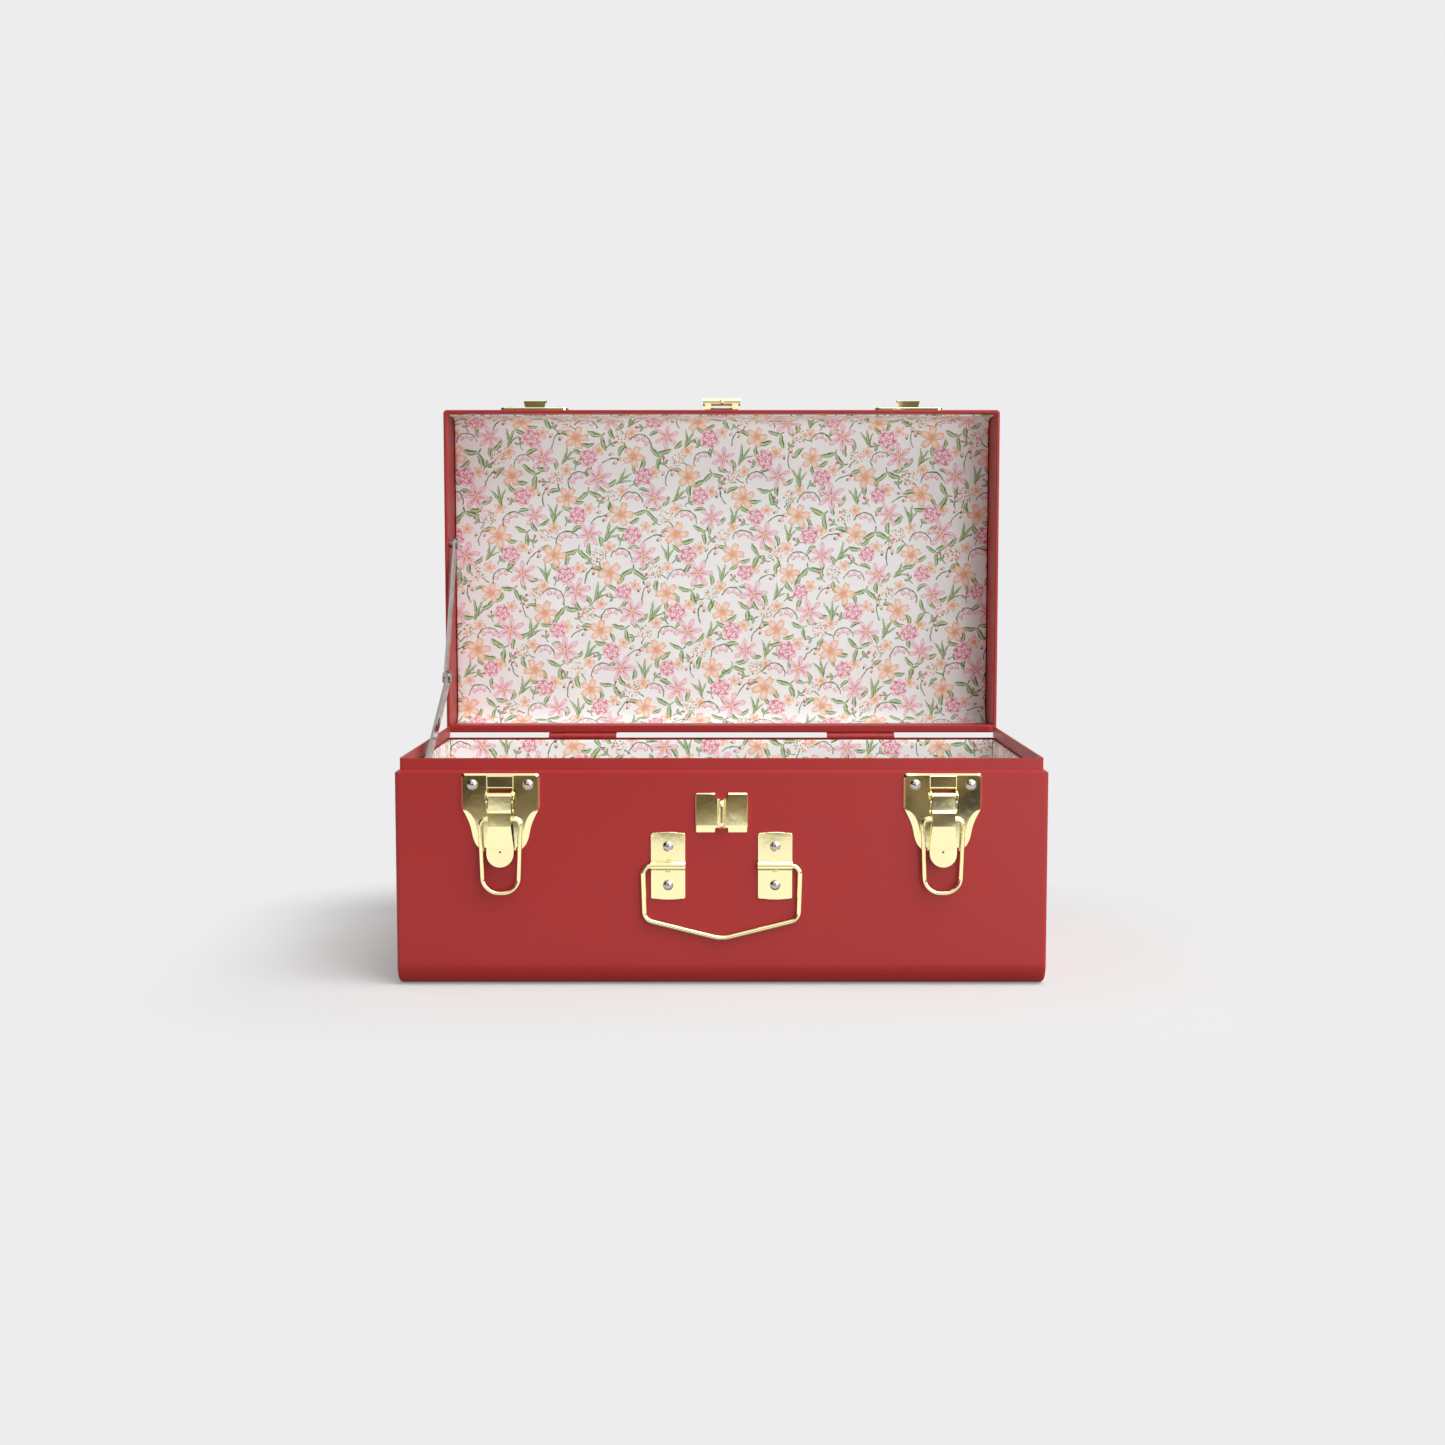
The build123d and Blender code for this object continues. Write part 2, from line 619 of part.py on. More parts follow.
def bail():
    """Wire bail hanging from the lever's cheeks."""
    low = BAIL_PIVOT_Z - BAIL_DROP
    end = LEVER_FACE_HALF - CHEEK_THICK - BAIL_END_IN
    right = [(end, BAIL_PIVOT_Z), (BAIL_TOP_HALF, BAIL_PIVOT_Z), (BAIL_LOW_HALF, low)]
    left = [(-x, y) for x, y in reversed(right)]
    return bent_wire(right + left, (BAIL_SHOULDER, BAIL_ROUND, BAIL_ROUND, BAIL_SHOULDER), BAIL_R, BAIL_PIVOT_OUT)


def hook_rest():
    """Height at which the bail's round end clears the hook's root, with the lever down."""
    share = (BAIL_PIVOT_OUT + BAIL_R) / HOOK_OUT
    half = HOOK_ROOT_HALF + (HOOK_TIP_HALF - HOOK_ROOT_HALF) * share
    reach = half - (BAIL_LOW_HALF - BAIL_ROUND)
    arch = BAIL_PIVOT_Z + BAIL_DROP - BAIL_ROUND
    return arch + ((BAIL_ROUND - BAIL_R) ** 2 - reach ** 2) ** 0.5 - HOOK_REST


def catch():
    """Catch plate of the closed lid, with the hook that takes the bail."""
    tall = CATCH_TOP - CATCH_BOTTOM
    outline = Pos(0, CATCH_BOTTOM + tall / 2) * RectangleRounded(2 * CATCH_HALF, tall, CATCH_CORNER)
    plate = extrude(outline, CATCH_RAISE)
    plate = fillet(plate.faces().sort_by(Axis.Z)[-1].edges(), LATCH_EDGE)
    rest = hook_rest()
    inner = HOOK_OUT - HOOK_THICK
    points = [(0, rest - HOOK_THICK), (HOOK_OUT - HOOK_THICK / 2, rest - HOOK_THICK), (HOOK_OUT, rest - HOOK_THICK / 2),
              (HOOK_OUT, rest + HOOK_RISE), (inner, rest + HOOK_RISE), (inner, rest), (0, rest)]
    hook = across(points, -HOOK_TIP_HALF, HOOK_TIP_HALF)
    flare = Plane.XZ * make_face(Polyline((-HOOK_ROOT_HALF, 0), (HOOK_ROOT_HALF, 0), (HOOK_TIP_HALF, HOOK_OUT),
                                          (-HOOK_TIP_HALF, HOOK_OUT), close=True))
    plate += hook & extrude(flare, -CATCH_TOP * 2)
    for x in (-CATCH_RIVET_X, CATCH_RIVET_X):
        plate -= rivet_hole(x, (CATCH_BOTTOM + CATCH_TOP) / 2, CATCH_RAISE * 4)
    return plate


# Padlock staple and hasp

def staple():
    """Bow-tie plate with bevelled lower edges and an eye pinched out of its middle."""
    points = [(0, STAPLE_BOTTOM), (STAPLE_EDGE, STAPLE_BOTTOM), (STAPLE_RAISE, STAPLE_BOTTOM + STAPLE_BEVEL),
              (STAPLE_RAISE, STAPLE_TOP - STAPLE_EDGE), (STAPLE_RAISE - STAPLE_EDGE, STAPLE_TOP), (0, STAPLE_TOP)]
    plate = across(points, -STAPLE_HALF, STAPLE_HALF)
    sides = [f for f in plate.faces() if abs(abs(f.center().X) - STAPLE_HALF) < STAPLE_EDGE]
    edges = [e for f in sides for e in f.edges() if e.center().Z > STAPLE_EDGE]
    plate = chamfer(edges, STAPLE_EDGE * 0.8)
    middle = (STAPLE_TOP + STAPLE_BOTTOM) / 2
    rounded = Pos(0, middle) * RectangleRounded(2 * STAPLE_HALF, STAPLE_TOP - STAPLE_BOTTOM, STAPLE_CORNER)
    plate = plate & extrude(rounded, STAPLE_RAISE)
    notch = WAIST_HALF + STAPLE_EDGE
    for z_in, z_out in ((WAIST_TOP, STAPLE_TOP), (WAIST_BOTTOM, STAPLE_BOTTOM)):
        reach = z_out + (z_out - z_in)
        cut = Polyline((-WAIST_HALF, z_in), (WAIST_HALF, z_in), (notch, reach), (-notch, reach), close=True)
        plate -= Pos(0, 0, -OVERRUN) * extrude(make_face(cut), 2 * OVERRUN)
    plate += staple_eye()
    middle = (WAIST_TOP + WAIST_BOTTOM) / 2
    return plate - rod(EYE_HOLE_R, -STAPLE_HALF, STAPLE_HALF, middle, EYE_HOLE_OUT)


def staple_eye():
    """Pinched fin with a round crest and a flared root."""
    fin = across([(0, WAIST_BOTTOM), (EYE_OUT, WAIST_BOTTOM), (EYE_OUT, WAIST_TOP), (0, WAIST_TOP)],
                 -EYE_THICK / 2, EYE_THICK / 2)
    fin = fillet(fin.edges().filter_by(Axis.X).sort_by(Axis.Z)[-2:], EYE_CORNER)
    crest = [e for e in fin.edges() if e.center().Z > EYE_OUT - EYE_CORNER and not is_along_x(e)]
    fin = fillet(crest, EYE_ROUND)
    low, high = EYE_THICK / 2, EYE_THICK / 2 + EYE_FLARE
    top = STAPLE_RAISE + EYE_FLARE
    root = Plane.XZ * make_face(Polyline((-high, 0), (-high, STAPLE_RAISE), (-low, top), (low, top),
                                         (high, STAPLE_RAISE), (high, 0), close=True))
    return fin + Pos(0, WAIST_TOP) * extrude(root, WAIST_TOP - WAIST_BOTTOM)


def is_along_x(edge):
    """Whether an edge runs straight across."""
    return edge.geom_type == GeomType.LINE and abs(edge.tangent_at(0).X) > HALF_SHARE


def hasp_knuckle(x0, x1):
    """Rolled knuckle of the hasp, solid until the pin's hole is cleared."""
    return rod(HASP_BARREL_R, x0, x1, HASP_Z, HASP_OUT)


def hasp_leaf():
    """Leaf on the closed lid with two feet that carry the outer knuckles."""
    bottom = HASP_Z - HASP_BARREL_R / 2
    leaf = block(-HASP_FOOT_HALF, HASP_FOOT_HALF, bottom, HASP_LEAF_TOP, 0, HASP_SHEET)
    foot = [(0, bottom), (HASP_OUT, HASP_Z - HASP_BARREL_R), (HASP_OUT, HASP_Z + HASP_BARREL_R),
            (HASP_SHEET / 2, HASP_Z + HASP_BARREL_R)]
    for x0, x1, k0, k1 in ((HASP_FOOT_IN, HASP_FOOT_HALF, HASP_FOOT_IN, HASP_HALF),
                           (-HASP_FOOT_HALF, -HASP_FOOT_IN, -HASP_HALF, -HASP_FOOT_IN)):
        leaf += across(foot, x0, x1) + hasp_knuckle(k0, k1)
    leaf -= rod(HASP_PIN_R, -HASP_HALF, HASP_HALF, HASP_Z, HASP_OUT)
    for x in (-HASP_RIVET_X, HASP_RIVET_X):
        leaf -= rivet_hole(x, HASP_RIVET_Z, HASP_SHEET * 4)
    return leaf


def hasp_flap():
    """Slotted flap folded back over the closed lid, with its middle knuckle and a lifting nub."""
    half = HASP_FOOT_IN - HASP_KNUCKLE_GAP
    top = HASP_OUT + HASP_BARREL_R
    under = top - HASP_SHEET
    tongue = block(-half, half, HASP_Z, HASP_Z + FLAP_START + HASP_SHEET, under, top)
    plate = Pos(0, HASP_Z + (FLAP_START + FLAP_LONG) / 2) * Rectangle(2 * FLAP_HALF, FLAP_LONG - FLAP_START)
    plate = fillet(plate.vertices().sort_by(Axis.Y)[-2:], FLAP_ROUND)
    flap = tongue + Pos(0, 0, under) * extrude(plate, HASP_SHEET) + hasp_knuckle(-half, half)
    near = HASP_Z - WAIST_TOP - SLOT_PLAY
    far = HASP_Z - WAIST_BOTTOM + SLOT_PLAY
    wide = EYE_THICK / 2 + SLOT_PLAY
    flap -= block(-wide, wide, HASP_Z + near, HASP_Z + far, under - OVERRUN, top + OVERRUN)
    flap += Pos(0, HASP_Z - HASP_BARREL_R + NUB_SINK, HASP_OUT) * Sphere(NUB_R)
    return flap - rod(HASP_PIN_R + RUNNING, -HASP_HALF, HASP_HALF, HASP_Z, HASP_OUT)


def hasp_pin():
    """Pin of the hasp."""
    return rod(HASP_PIN_R, -HASP_HALF, HASP_HALF, HASP_Z, HASP_OUT)


# Carrying handle

def strap():
    """Strap with crowned ends and a rolled channel for the wire."""
    lines = [
        ThreePointArc((-STRAP_HALF, STRAP_TOP - STRAP_CROWN), (0, STRAP_TOP), (STRAP_HALF, STRAP_TOP - STRAP_CROWN)),
        Line((STRAP_HALF, STRAP_TOP - STRAP_CROWN), (STRAP_HALF, STRAP_BOTTOM + STRAP_CROWN)),
        ThreePointArc((STRAP_HALF, STRAP_BOTTOM + STRAP_CROWN), (0, STRAP_BOTTOM), (-STRAP_HALF, STRAP_BOTTOM + STRAP_CROWN)),
        Line((-STRAP_HALF, STRAP_BOTTOM + STRAP_CROWN), (-STRAP_HALF, STRAP_TOP - STRAP_CROWN)),
    ]
    outline = make_face(lines)
    plate = extrude(fillet(outline.vertices(), STRAP_CORNER), STRAP_SHEET)
    plate = fillet(plate.faces().sort_by(Axis.Z)[-1].edges(), STRAP_EDGE)
    plate += rod(CHANNEL_R, -STRAP_HALF, STRAP_HALF, HANDLE_Z, HANDLE_OUT)
    plate -= block(-WIDTH, WIDTH, 0, LEDGE, -OVERRUN, 0)
    plate -= rod(HANDLE_R + RUNNING, -WIDTH, WIDTH, HANDLE_Z, HANDLE_OUT)
    for height in (HANDLE_Z - STAKE_OFF, HANDLE_Z + STAKE_OFF):
        plate -= rod(STAKE_R, -STAKE_HALF, STAKE_HALF, height, STRAP_SHEET)
    for height in (STRAP_RIVET_TOP, STRAP_RIVET_BOTTOM):
        plate -= rivet_hole(0, height, STRAP_SHEET * 4)
    return plate


def handle():
    """Bent wire handle that hangs from the straps and dips in the middle."""
    end = STRAP_X - STRAP_HALF + HANDLE_END_IN
    right = [(end, HANDLE_Z), (HANDLE_HALF, HANDLE_Z), (HANDLE_LOW_HALF, HANDLE_CORNER_Z)]
    left = [(-x, y) for x, y in reversed(right)]
    radii = (HANDLE_SHOULDER, HANDLE_CORNER_R, HANDLE_MIDDLE_R, HANDLE_CORNER_R, HANDLE_SHOULDER)
    return bent_wire(right + [(0, HANDLE_BOTTOM_Z)] + left, radii, HANDLE_R, HANDLE_OUT)


# Lid stay, flat links in planes square to X

def turned(point, centre, angle):
    """Turn a (y, z) point about a centre, positive as a right-hand turn about +X."""
    y, z = point[0] - centre[0], point[1] - centre[1]
    c, s = cos(radians(angle)), sin(radians(angle))
    return centre[0] + y * c - z * s, centre[1] + y * s + z * c


def stay_place(forward, above):
    """Pivot of the stay as a (y, z) point, further from the hinge axis on a deeper trunk."""
    growth = DEPTH / STAY_FOR_DEPTH
    return HINGE_Y - forward * growth, HINGE_Z + above * growth


STAY_BASE = stay_place(STAY_BASE_FORWARD, STAY_BASE_ABOVE)
STAY_ELBOW = stay_place(STAY_ELBOW_FORWARD, STAY_ELBOW_ABOVE)
STAY_LID = stay_place(STAY_LID_FORWARD, STAY_LID_ABOVE)
HINGE = (HINGE_Y, HINGE_Z)
STAY_UPPER_X = -(WIDTH / 2 - LIP_INSET - SHEET) + STAY_WALL_GAP + STAY_HEAD + RUNNING
STAY_LOWER_X = STAY_UPPER_X + STAY_SHEET + STAY_GAP
BRACKET_X = -(WIDTH / 2 - SHEET - LINING_GAP - LINING)


def span(a, b):
    """Distance between two (y, z) points."""
    return hypot(b[0] - a[0], b[1] - a[1])


def heading(a, b):
    """Direction from a to b in degrees."""
    return degrees(atan2(b[1] - a[1], b[0] - a[0]))


def closed_elbow():
    """Where the elbow hangs when the lid is shut and the slide pin is back at its place."""
    lid = turned(STAY_LID, HINGE, HINGE_STOP)
    low, up, gap = span(STAY_BASE, STAY_ELBOW), span(STAY_LID, STAY_ELBOW), span(STAY_BASE, lid)
    reach = (low ** 2 - up ** 2 + gap ** 2) / (2 * gap)
    rise = (low ** 2 - reach ** 2) ** 0.5
    tilt = radians(heading(STAY_BASE, lid))
    return (STAY_BASE[0] + reach * cos(tilt) + rise * sin(tilt), STAY_BASE[1] + reach * sin(tilt) - rise * cos(tilt))


def stay_turns():
    """Turns of the upper link on the lid and of the elbow as the lid shuts, in degrees."""
    elbow = closed_elbow()
    lid = turned(STAY_LID, HINGE, HINGE_STOP)
    upper = (heading(lid, elbow) - heading(STAY_LID, STAY_ELBOW) - HINGE_STOP) % FULL_TURN
    lower = (heading(elbow, STAY_BASE) - heading(STAY_ELBOW, STAY_BASE)) % FULL_TURN - FULL_TURN
    return upper, lower - HINGE_STOP - upper


def slide_place(share):
    """Where the slide pin stands in the bracket when the lid has closed by a share of its travel."""
    upper, elbow = stay_turns()
    point = turned(STAY_BASE, STAY_ELBOW, elbow * share)
    point = turned(point, STAY_LID, upper * share)
    return turned(point, HINGE, HINGE_STOP * share)


def bar(a, b, half, thick, x):
    """Flat link with round ends between two (y, z) points, from x towards +X."""
    length = span(a, b)
    plane = Plane(origin=(x, (a[0] + b[0]) / 2, (a[1] + b[1]) / 2), x_dir=(0, b[0] - a[0], b[1] - a[1]), z_dir=(1, 0, 0))
    return plane * extrude(SlotCenterToCenter(length, 2 * half), thick)


def disc(centre, radius, x0, x1):
    """Round boss square to X between two places."""
    boss = Cylinder(radius, x1 - x0, align=(Align.CENTER, Align.CENTER, Align.MIN))
    return Pos(x0, *centre) * Rot(0, 90, 0) * boss


def along(a, b, reach):
    """Point on the line from a to b at a distance from a."""
    length = span(a, b)
    return a[0] + (b[0] - a[0]) * reach / length, a[1] + (b[1] - a[1]) * reach / length


def stay_upper_link():
    """Link from the lid's stud to the elbow."""
    link = bar(STAY_LID, STAY_ELBOW, STAY_HALF, STAY_SHEET, STAY_UPPER_X)
    for centre in (STAY_LID, STAY_ELBOW):
        link -= disc(centre, STAY_SHANK_R + RUNNING, STAY_UPPER_X - OVERRUN, STAY_LOWER_X)
    return link


def stay_lower_link():
    """Link from the elbow to the slide pin, with its short slot."""
    link = bar(STAY_ELBOW, STAY_BASE, STAY_HALF, STAY_SHEET, STAY_LOWER_X)
    for centre in (STAY_ELBOW, STAY_BASE):
        link -= disc(centre, STAY_SHANK_R, STAY_LOWER_X - OVERRUN, STAY_LOWER_X + OVERRUN)
    a = along(STAY_BASE, STAY_ELBOW, STAY_SLOT_FROM_PIN)
    b = along(STAY_BASE, STAY_ELBOW, STAY_SLOT_FROM_PIN + STAY_SLOT_LONG - 2 * STAY_SLOT_HALF)
    return link - bar(a, b, STAY_SLOT_HALF, STAY_SHEET + OVERRUN, STAY_LOWER_X - OVERRUN / 2)


def headed_pin(centre, x0, x1, heads):
    """Shank from x0 to x1 with a head at each end named in heads."""
    pin = disc(centre, STAY_SHANK_R, x0, x1)
    if "low" in heads:
        pin += disc(centre, STAY_HEAD_R, x0 - STAY_HEAD, x0)
    if "high" in heads:
        pin += disc(centre, STAY_HEAD_R, x1, x1 + STAY_HEAD)
    return pin


def stay_elbow_rivet():
    """Rivet of the elbow, fast in the lower link and free in the upper one."""
    return headed_pin(STAY_ELBOW, STAY_UPPER_X - RUNNING, STAY_LOWER_X + STAY_SHEET, ("low", "high"))


def stay_slide_pin():
    """Pin at the foot of the lower link, which slides in the bracket's slot."""
    return headed_pin(STAY_BASE, BRACKET_X + RUNNING * 2, STAY_LOWER_X + STAY_SHEET, ("high",))


def stay_lid_stud():
    """Stud on the lid's end plate with the spacer and head that hold the upper link."""
    wall = -(WIDTH / 2 - HEM)
    spacer = disc(STAY_LID, STAY_SPACER_R, wall, STAY_UPPER_X - RUNNING)
    return spacer + headed_pin(STAY_LID, wall, STAY_UPPER_X + STAY_SHEET + RUNNING, ("high",))


def stay_bracket():
    """Slotted plate on the lining of the left end, where the slide pin runs."""
    far = slide_place(MID_TRAVEL_SHARE)
    near_low, far_low = below_slot(BRACKET_DROP)
    plate = bar(near_low, far_low, BRACKET_HALF, BRACKET_SHEET, BRACKET_X)
    plate -= bar(STAY_BASE, far, STAY_SHANK_R + BRACKET_PLAY, OVERRUN, BRACKET_X - OVERRUN / 2)
    for centre in below_slot(BRACKET_STUD_DROP):
        plate -= disc(centre, RIVET_SHANK_R, BRACKET_X - OVERRUN, BRACKET_X + OVERRUN)
    return plate


def below_slot(drop):
    """Both ends of the slot's line, moved square to it and down by a drop."""
    far = slide_place(MID_TRAVEL_SHARE)
    tilt = atan2(far[1] - STAY_BASE[1], far[0] - STAY_BASE[0])
    down, back = drop * cos(tilt), drop * sin(tilt)
    return [(y - back, z + down) for y, z in (STAY_BASE, far)]


def save(name, shape):
    """Write one sub-part as a STEP file named after its node."""
    solids = shape.solids()
    body = solids[0] if len(solids) == 1 else Compound(children=list(solids))
    export_step(body, f"parts/{name}.step")


def save_body():
    """Sheet metal and lining of base and lid."""
    shell = base_shell()
    for side, name in ((-1, "left"), (1, "right")):
        save(f"base_{name}_end", shell & base_end_zone(side))
        save(f"base_{name}_lining", base_lining_end(side))
    save("base_wrap", shell - base_end_zone(-1) - base_end_zone(1))
    save("base_lining", base_lining_strip())
    lid = lid_shell()
    for side, name in ((-1, "left"), (1, "right")):
        save(f"lid_{name}_end", opened(lid & lid_end_zone(side)))
    save("lid_wrap", opened(lid - lid_end_zone(-1) - lid_end_zone(1)))
    save("lid_lining", opened(lid_lining_strip()))


def save_hinges():
    """Two butt hinges with their rivets."""
    for side, name in ((-1, "left"), (1, "right")):
        x = side * HINGE_X
        save(f"hinge_{name}_base_leaf", hinge_base_leaf(x))
        save(f"hinge_{name}_lid_leaf", opened(hinge_lid_leaf(x)))
        save(f"hinge_{name}_pin", hinge_pin(x))
        base_rivets = [back_rivet(*place) for place in hinge_rivet_places(x, -HINGE_RIVET_DROP)]
        save(f"hinge_{name}_base_rivets", Compound(children=base_rivets))
        lid_rivets = [opened(back_rivet(*place)) for place in hinge_rivet_places(x, HINGE_RIVET_DROP)]
        save(f"hinge_{name}_lid_rivets", Compound(children=lid_rivets))


def save_latches():
    """Two draw latches on the base and their catches on the lid."""
    for side, name in ((-1, "left"), (1, "right")):
        face = front(side * LATCH_X)
        save(f"latch_{name}_plate", face * latch_plate())
        save(f"latch_{name}_pin", face * latch_pin())
        save(f"latch_{name}_lever", face * lever())
        save(f"latch_{name}_bail", face * bail())
        rivets = [face * dome_rivet(x, LATCH_RIVET_Z, LATCH_RAISE) for x in (-LATCH_RIVET_X, LATCH_RIVET_X)]
        save(f"latch_{name}_rivets", Compound(children=rivets))
        save(f"catch_{name}", opened(face * catch()))
        middle = (CATCH_BOTTOM + CATCH_TOP) / 2
        rivets = [opened(face * dome_rivet(x, middle, CATCH_RAISE, SMALL_RIVET_R, SMALL_RIVET_TALL))
                  for x in (-CATCH_RIVET_X, CATCH_RIVET_X)]
        save(f"catch_{name}_rivets", Compound(children=rivets))


def save_hasp():
    """Padlock staple on the base and hasp on the lid."""
    face = front()
    save("padlock_staple", face * staple())
    save("hasp_leaf", opened(face * hasp_leaf()))
    save("hasp_flap", opened(face * hasp_flap()))
    save("hasp_pin", opened(face * hasp_pin()))
    rivets = [opened(face * dome_rivet(x, HASP_RIVET_Z, HASP_SHEET, SMALL_RIVET_R, SMALL_RIVET_TALL))
              for x in (-HASP_RIVET_X, HASP_RIVET_X)]
    save("hasp_rivets", Compound(children=rivets))


def save_handle():
    """Wire handle with its two straps and four rivets."""
    save("handle", front() * handle())
    rivets = []
    for side, name in ((-1, "left"), (1, "right")):
        face = front(side * STRAP_X)
        save(f"handle_{name}_strap", face * strap())
        rivets += [face * dome_rivet(0, height, STRAP_SHEET) for height in (STRAP_RIVET_TOP, STRAP_RIVET_BOTTOM)]
    save("handle_rivets", Compound(children=rivets))


def save_stay():
    """Folding lid stay on the left."""
    save("stay_bracket", stay_bracket())
    studs = [disc(c, RIVET_SHANK_R, BRACKET_X, BRACKET_X + BRACKET_SHEET)
             + disc(c, SMALL_RIVET_R, BRACKET_X + BRACKET_SHEET, BRACKET_X + BRACKET_SHEET + STAY_HEAD)
             for c in below_slot(BRACKET_STUD_DROP)]
    save("stay_bracket_studs", Compound(children=studs))
    save("stay_lower_link", stay_lower_link())
    save("stay_slide_pin", stay_slide_pin())
    save("stay_elbow_rivet", stay_elbow_rivet())
    save("stay_upper_link", stay_upper_link())
    save("stay_lid_stud", stay_lid_stud())


os.makedirs("parts", exist_ok=True)
save_body()
save_hinges()
save_latches()
save_hasp()
save_handle()
save_stay()
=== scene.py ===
# %% [markdown]
# # A painted metal mini trunk with a printed lining
#
# The trunk is sheet steel in red enamel. Its hardware is plated a pale gold, and its inside is lined with
# card that carries a floral cloth. The rigid pieces come ready made from the packed model, so this lesson
# is about light, paint, plating, cloth and what repeats. The first step loads that model, which stays as
# it is.

# %% Load the packed model
import json
import math
import bpy
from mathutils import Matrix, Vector, noise


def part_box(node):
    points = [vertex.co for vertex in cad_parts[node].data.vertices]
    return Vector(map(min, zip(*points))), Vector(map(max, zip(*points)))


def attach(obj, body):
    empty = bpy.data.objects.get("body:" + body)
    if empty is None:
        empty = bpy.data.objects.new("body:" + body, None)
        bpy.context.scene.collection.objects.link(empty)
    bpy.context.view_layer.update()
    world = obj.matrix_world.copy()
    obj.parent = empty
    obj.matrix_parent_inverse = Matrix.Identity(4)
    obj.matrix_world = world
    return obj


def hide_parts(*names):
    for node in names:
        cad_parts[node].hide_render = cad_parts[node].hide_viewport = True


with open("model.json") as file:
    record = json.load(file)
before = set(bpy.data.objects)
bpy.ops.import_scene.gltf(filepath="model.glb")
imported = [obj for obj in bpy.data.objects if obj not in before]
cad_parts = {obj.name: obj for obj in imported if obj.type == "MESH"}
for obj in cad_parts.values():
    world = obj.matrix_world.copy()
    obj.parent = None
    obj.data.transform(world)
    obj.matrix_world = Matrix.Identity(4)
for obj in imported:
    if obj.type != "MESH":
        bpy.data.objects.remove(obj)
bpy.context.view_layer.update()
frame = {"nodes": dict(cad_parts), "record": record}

nodes = frame["nodes"]
MM = 0.001

# %% [markdown]
# The camera comes next, because every later choice is judged through it. The photograph was taken with a
# long view from about a metre away, looking slightly down. A wide lens close by would splay the sides of
# the box, and an orthographic camera would flatten it. A lens of 50 mm on a 36 mm sensor gives the same
# narrow, calm perspective.

# %% Place the camera
CAMERA_PLACE = (0, -1.0011, 0.2003)
CAMERA_DOWN = 4.884
CAMERA_LENS = 50.0
CAMERA_SENSOR = 36.0
CAMERA_SHIFT = 0.0006

camera = bpy.data.objects.new("camera", bpy.data.cameras.new("camera"))
camera.location = CAMERA_PLACE
camera.rotation_euler = (math.radians(90 - CAMERA_DOWN), 0, 0)
camera.data.lens = CAMERA_LENS
camera.data.sensor_width = CAMERA_SENSOR
camera.data.shift_x = CAMERA_SHIFT
bpy.context.scene.collection.objects.link(camera)
bpy.context.scene.camera = camera
bpy.context.scene.view_settings.view_transform = "Standard"
print("camera looks down by", CAMERA_DOWN, "degrees")

# %% [markdown]
# Materials are node trees, and a tree is easier to read as arithmetic. One small class wraps a socket, so
# that `1 - mask` or `u * u + v * v` adds the Math nodes by itself.

# %% Wrap a socket
class Wire:
    """One output of a node, which Python's operators carry into Math nodes."""

    def __init__(self, graph, socket):
        self.graph = graph
        self.socket = socket

    def __add__(self, other):
        return self.graph.math("ADD", self, other)

    def __sub__(self, other):
        return self.graph.math("SUBTRACT", self, other)

    def __rsub__(self, other):
        return self.graph.math("SUBTRACT", other, self)

    def __mul__(self, other):
        return self.graph.math("MULTIPLY", self, other)

    def __truediv__(self, other):
        return self.graph.math("DIVIDE", self, other)

    def __mod__(self, other):
        return self.graph.math("FLOORED_MODULO", self, other)

    def __abs__(self):
        return self.graph.math("ABSOLUTE", self)

    __radd__ = __add__
    __rmul__ = __mul__


print("a wire turns + - * / % and abs() into nodes")

# %% [markdown]
# A second class holds the tree. It makes any node from its type, its settings and what goes into its
# sockets, and it has a short name for each kind of node that this lesson uses often. Colours always go
# through a Mix node, because a Math node would turn them grey.

# %% Wrap a tree
class Graph:
    """The node tree of a material or of the world."""

    def __init__(self, owner):
        owner.use_nodes = True
        self.tree = owner.node_tree
        self.tree.nodes.clear()

    def feed(self, socket, value):
        """Link a wire to a socket, or set the socket's value."""
        if isinstance(value, Wire):
            self.tree.links.new(value.socket, socket)
        else:
            socket.default_value = value

    def node(self, kind, settings=None, inputs=None, output=0):
        """Make a node, set it up, feed it, and return one of its outputs."""
        made = self.tree.nodes.new(kind)
        for name, value in (settings or {}).items():
            setattr(made, name, value)
        given = inputs.items() if isinstance(inputs, dict) else enumerate(inputs or [])
        for key, value in given:
            self.feed(made.inputs[key], value)
        return Wire(self, made.outputs[output]) if len(made.outputs) else None

    def other(self, wire, name):
        """Another output of the node that a wire comes from."""
        return Wire(self, wire.socket.node.outputs[name])

    def math(self, operation, *values):
        """One Math node."""
        return self.node("ShaderNodeMath", {"operation": operation}, values)

    def smooth(self, value, low, high):
        """Ease from 0 at low to 1 at high."""
        ease = {"interpolation_type": "SMOOTHSTEP"}
        return self.node("ShaderNodeMapRange", ease, [value, low, high, 0.0, 1.0])

    def mix(self, share, a, b):
        """Colour a where share is 0, and colour b where it is 1."""
        return self.node("ShaderNodeMix", {"data_type": "RGBA"}, {0: share, 6: a, 7: b}, output=2)

    def split(self, vector):
        """The three numbers of a vector."""
        first = self.node("ShaderNodeSeparateXYZ", None, [vector])
        return [self.other(first, key) for key in range(3)]

    def noise(self, vector, scale, detail=2.0):
        """Soft noise about a half, on coordinates in metres, with scale in spots to the metre."""
        return self.node("ShaderNodeTexNoise", None, {"Vector": vector, "Scale": scale, "Detail": detail})

    def place(self):
        """Position on the piece, in metres."""
        return self.node("ShaderNodeTexCoord", output="Object")

    def path(self, name):
        """1 for the kind of ray that has this name, and 0 for the others."""
        return self.other(self.node("ShaderNodeLightPath"), name)


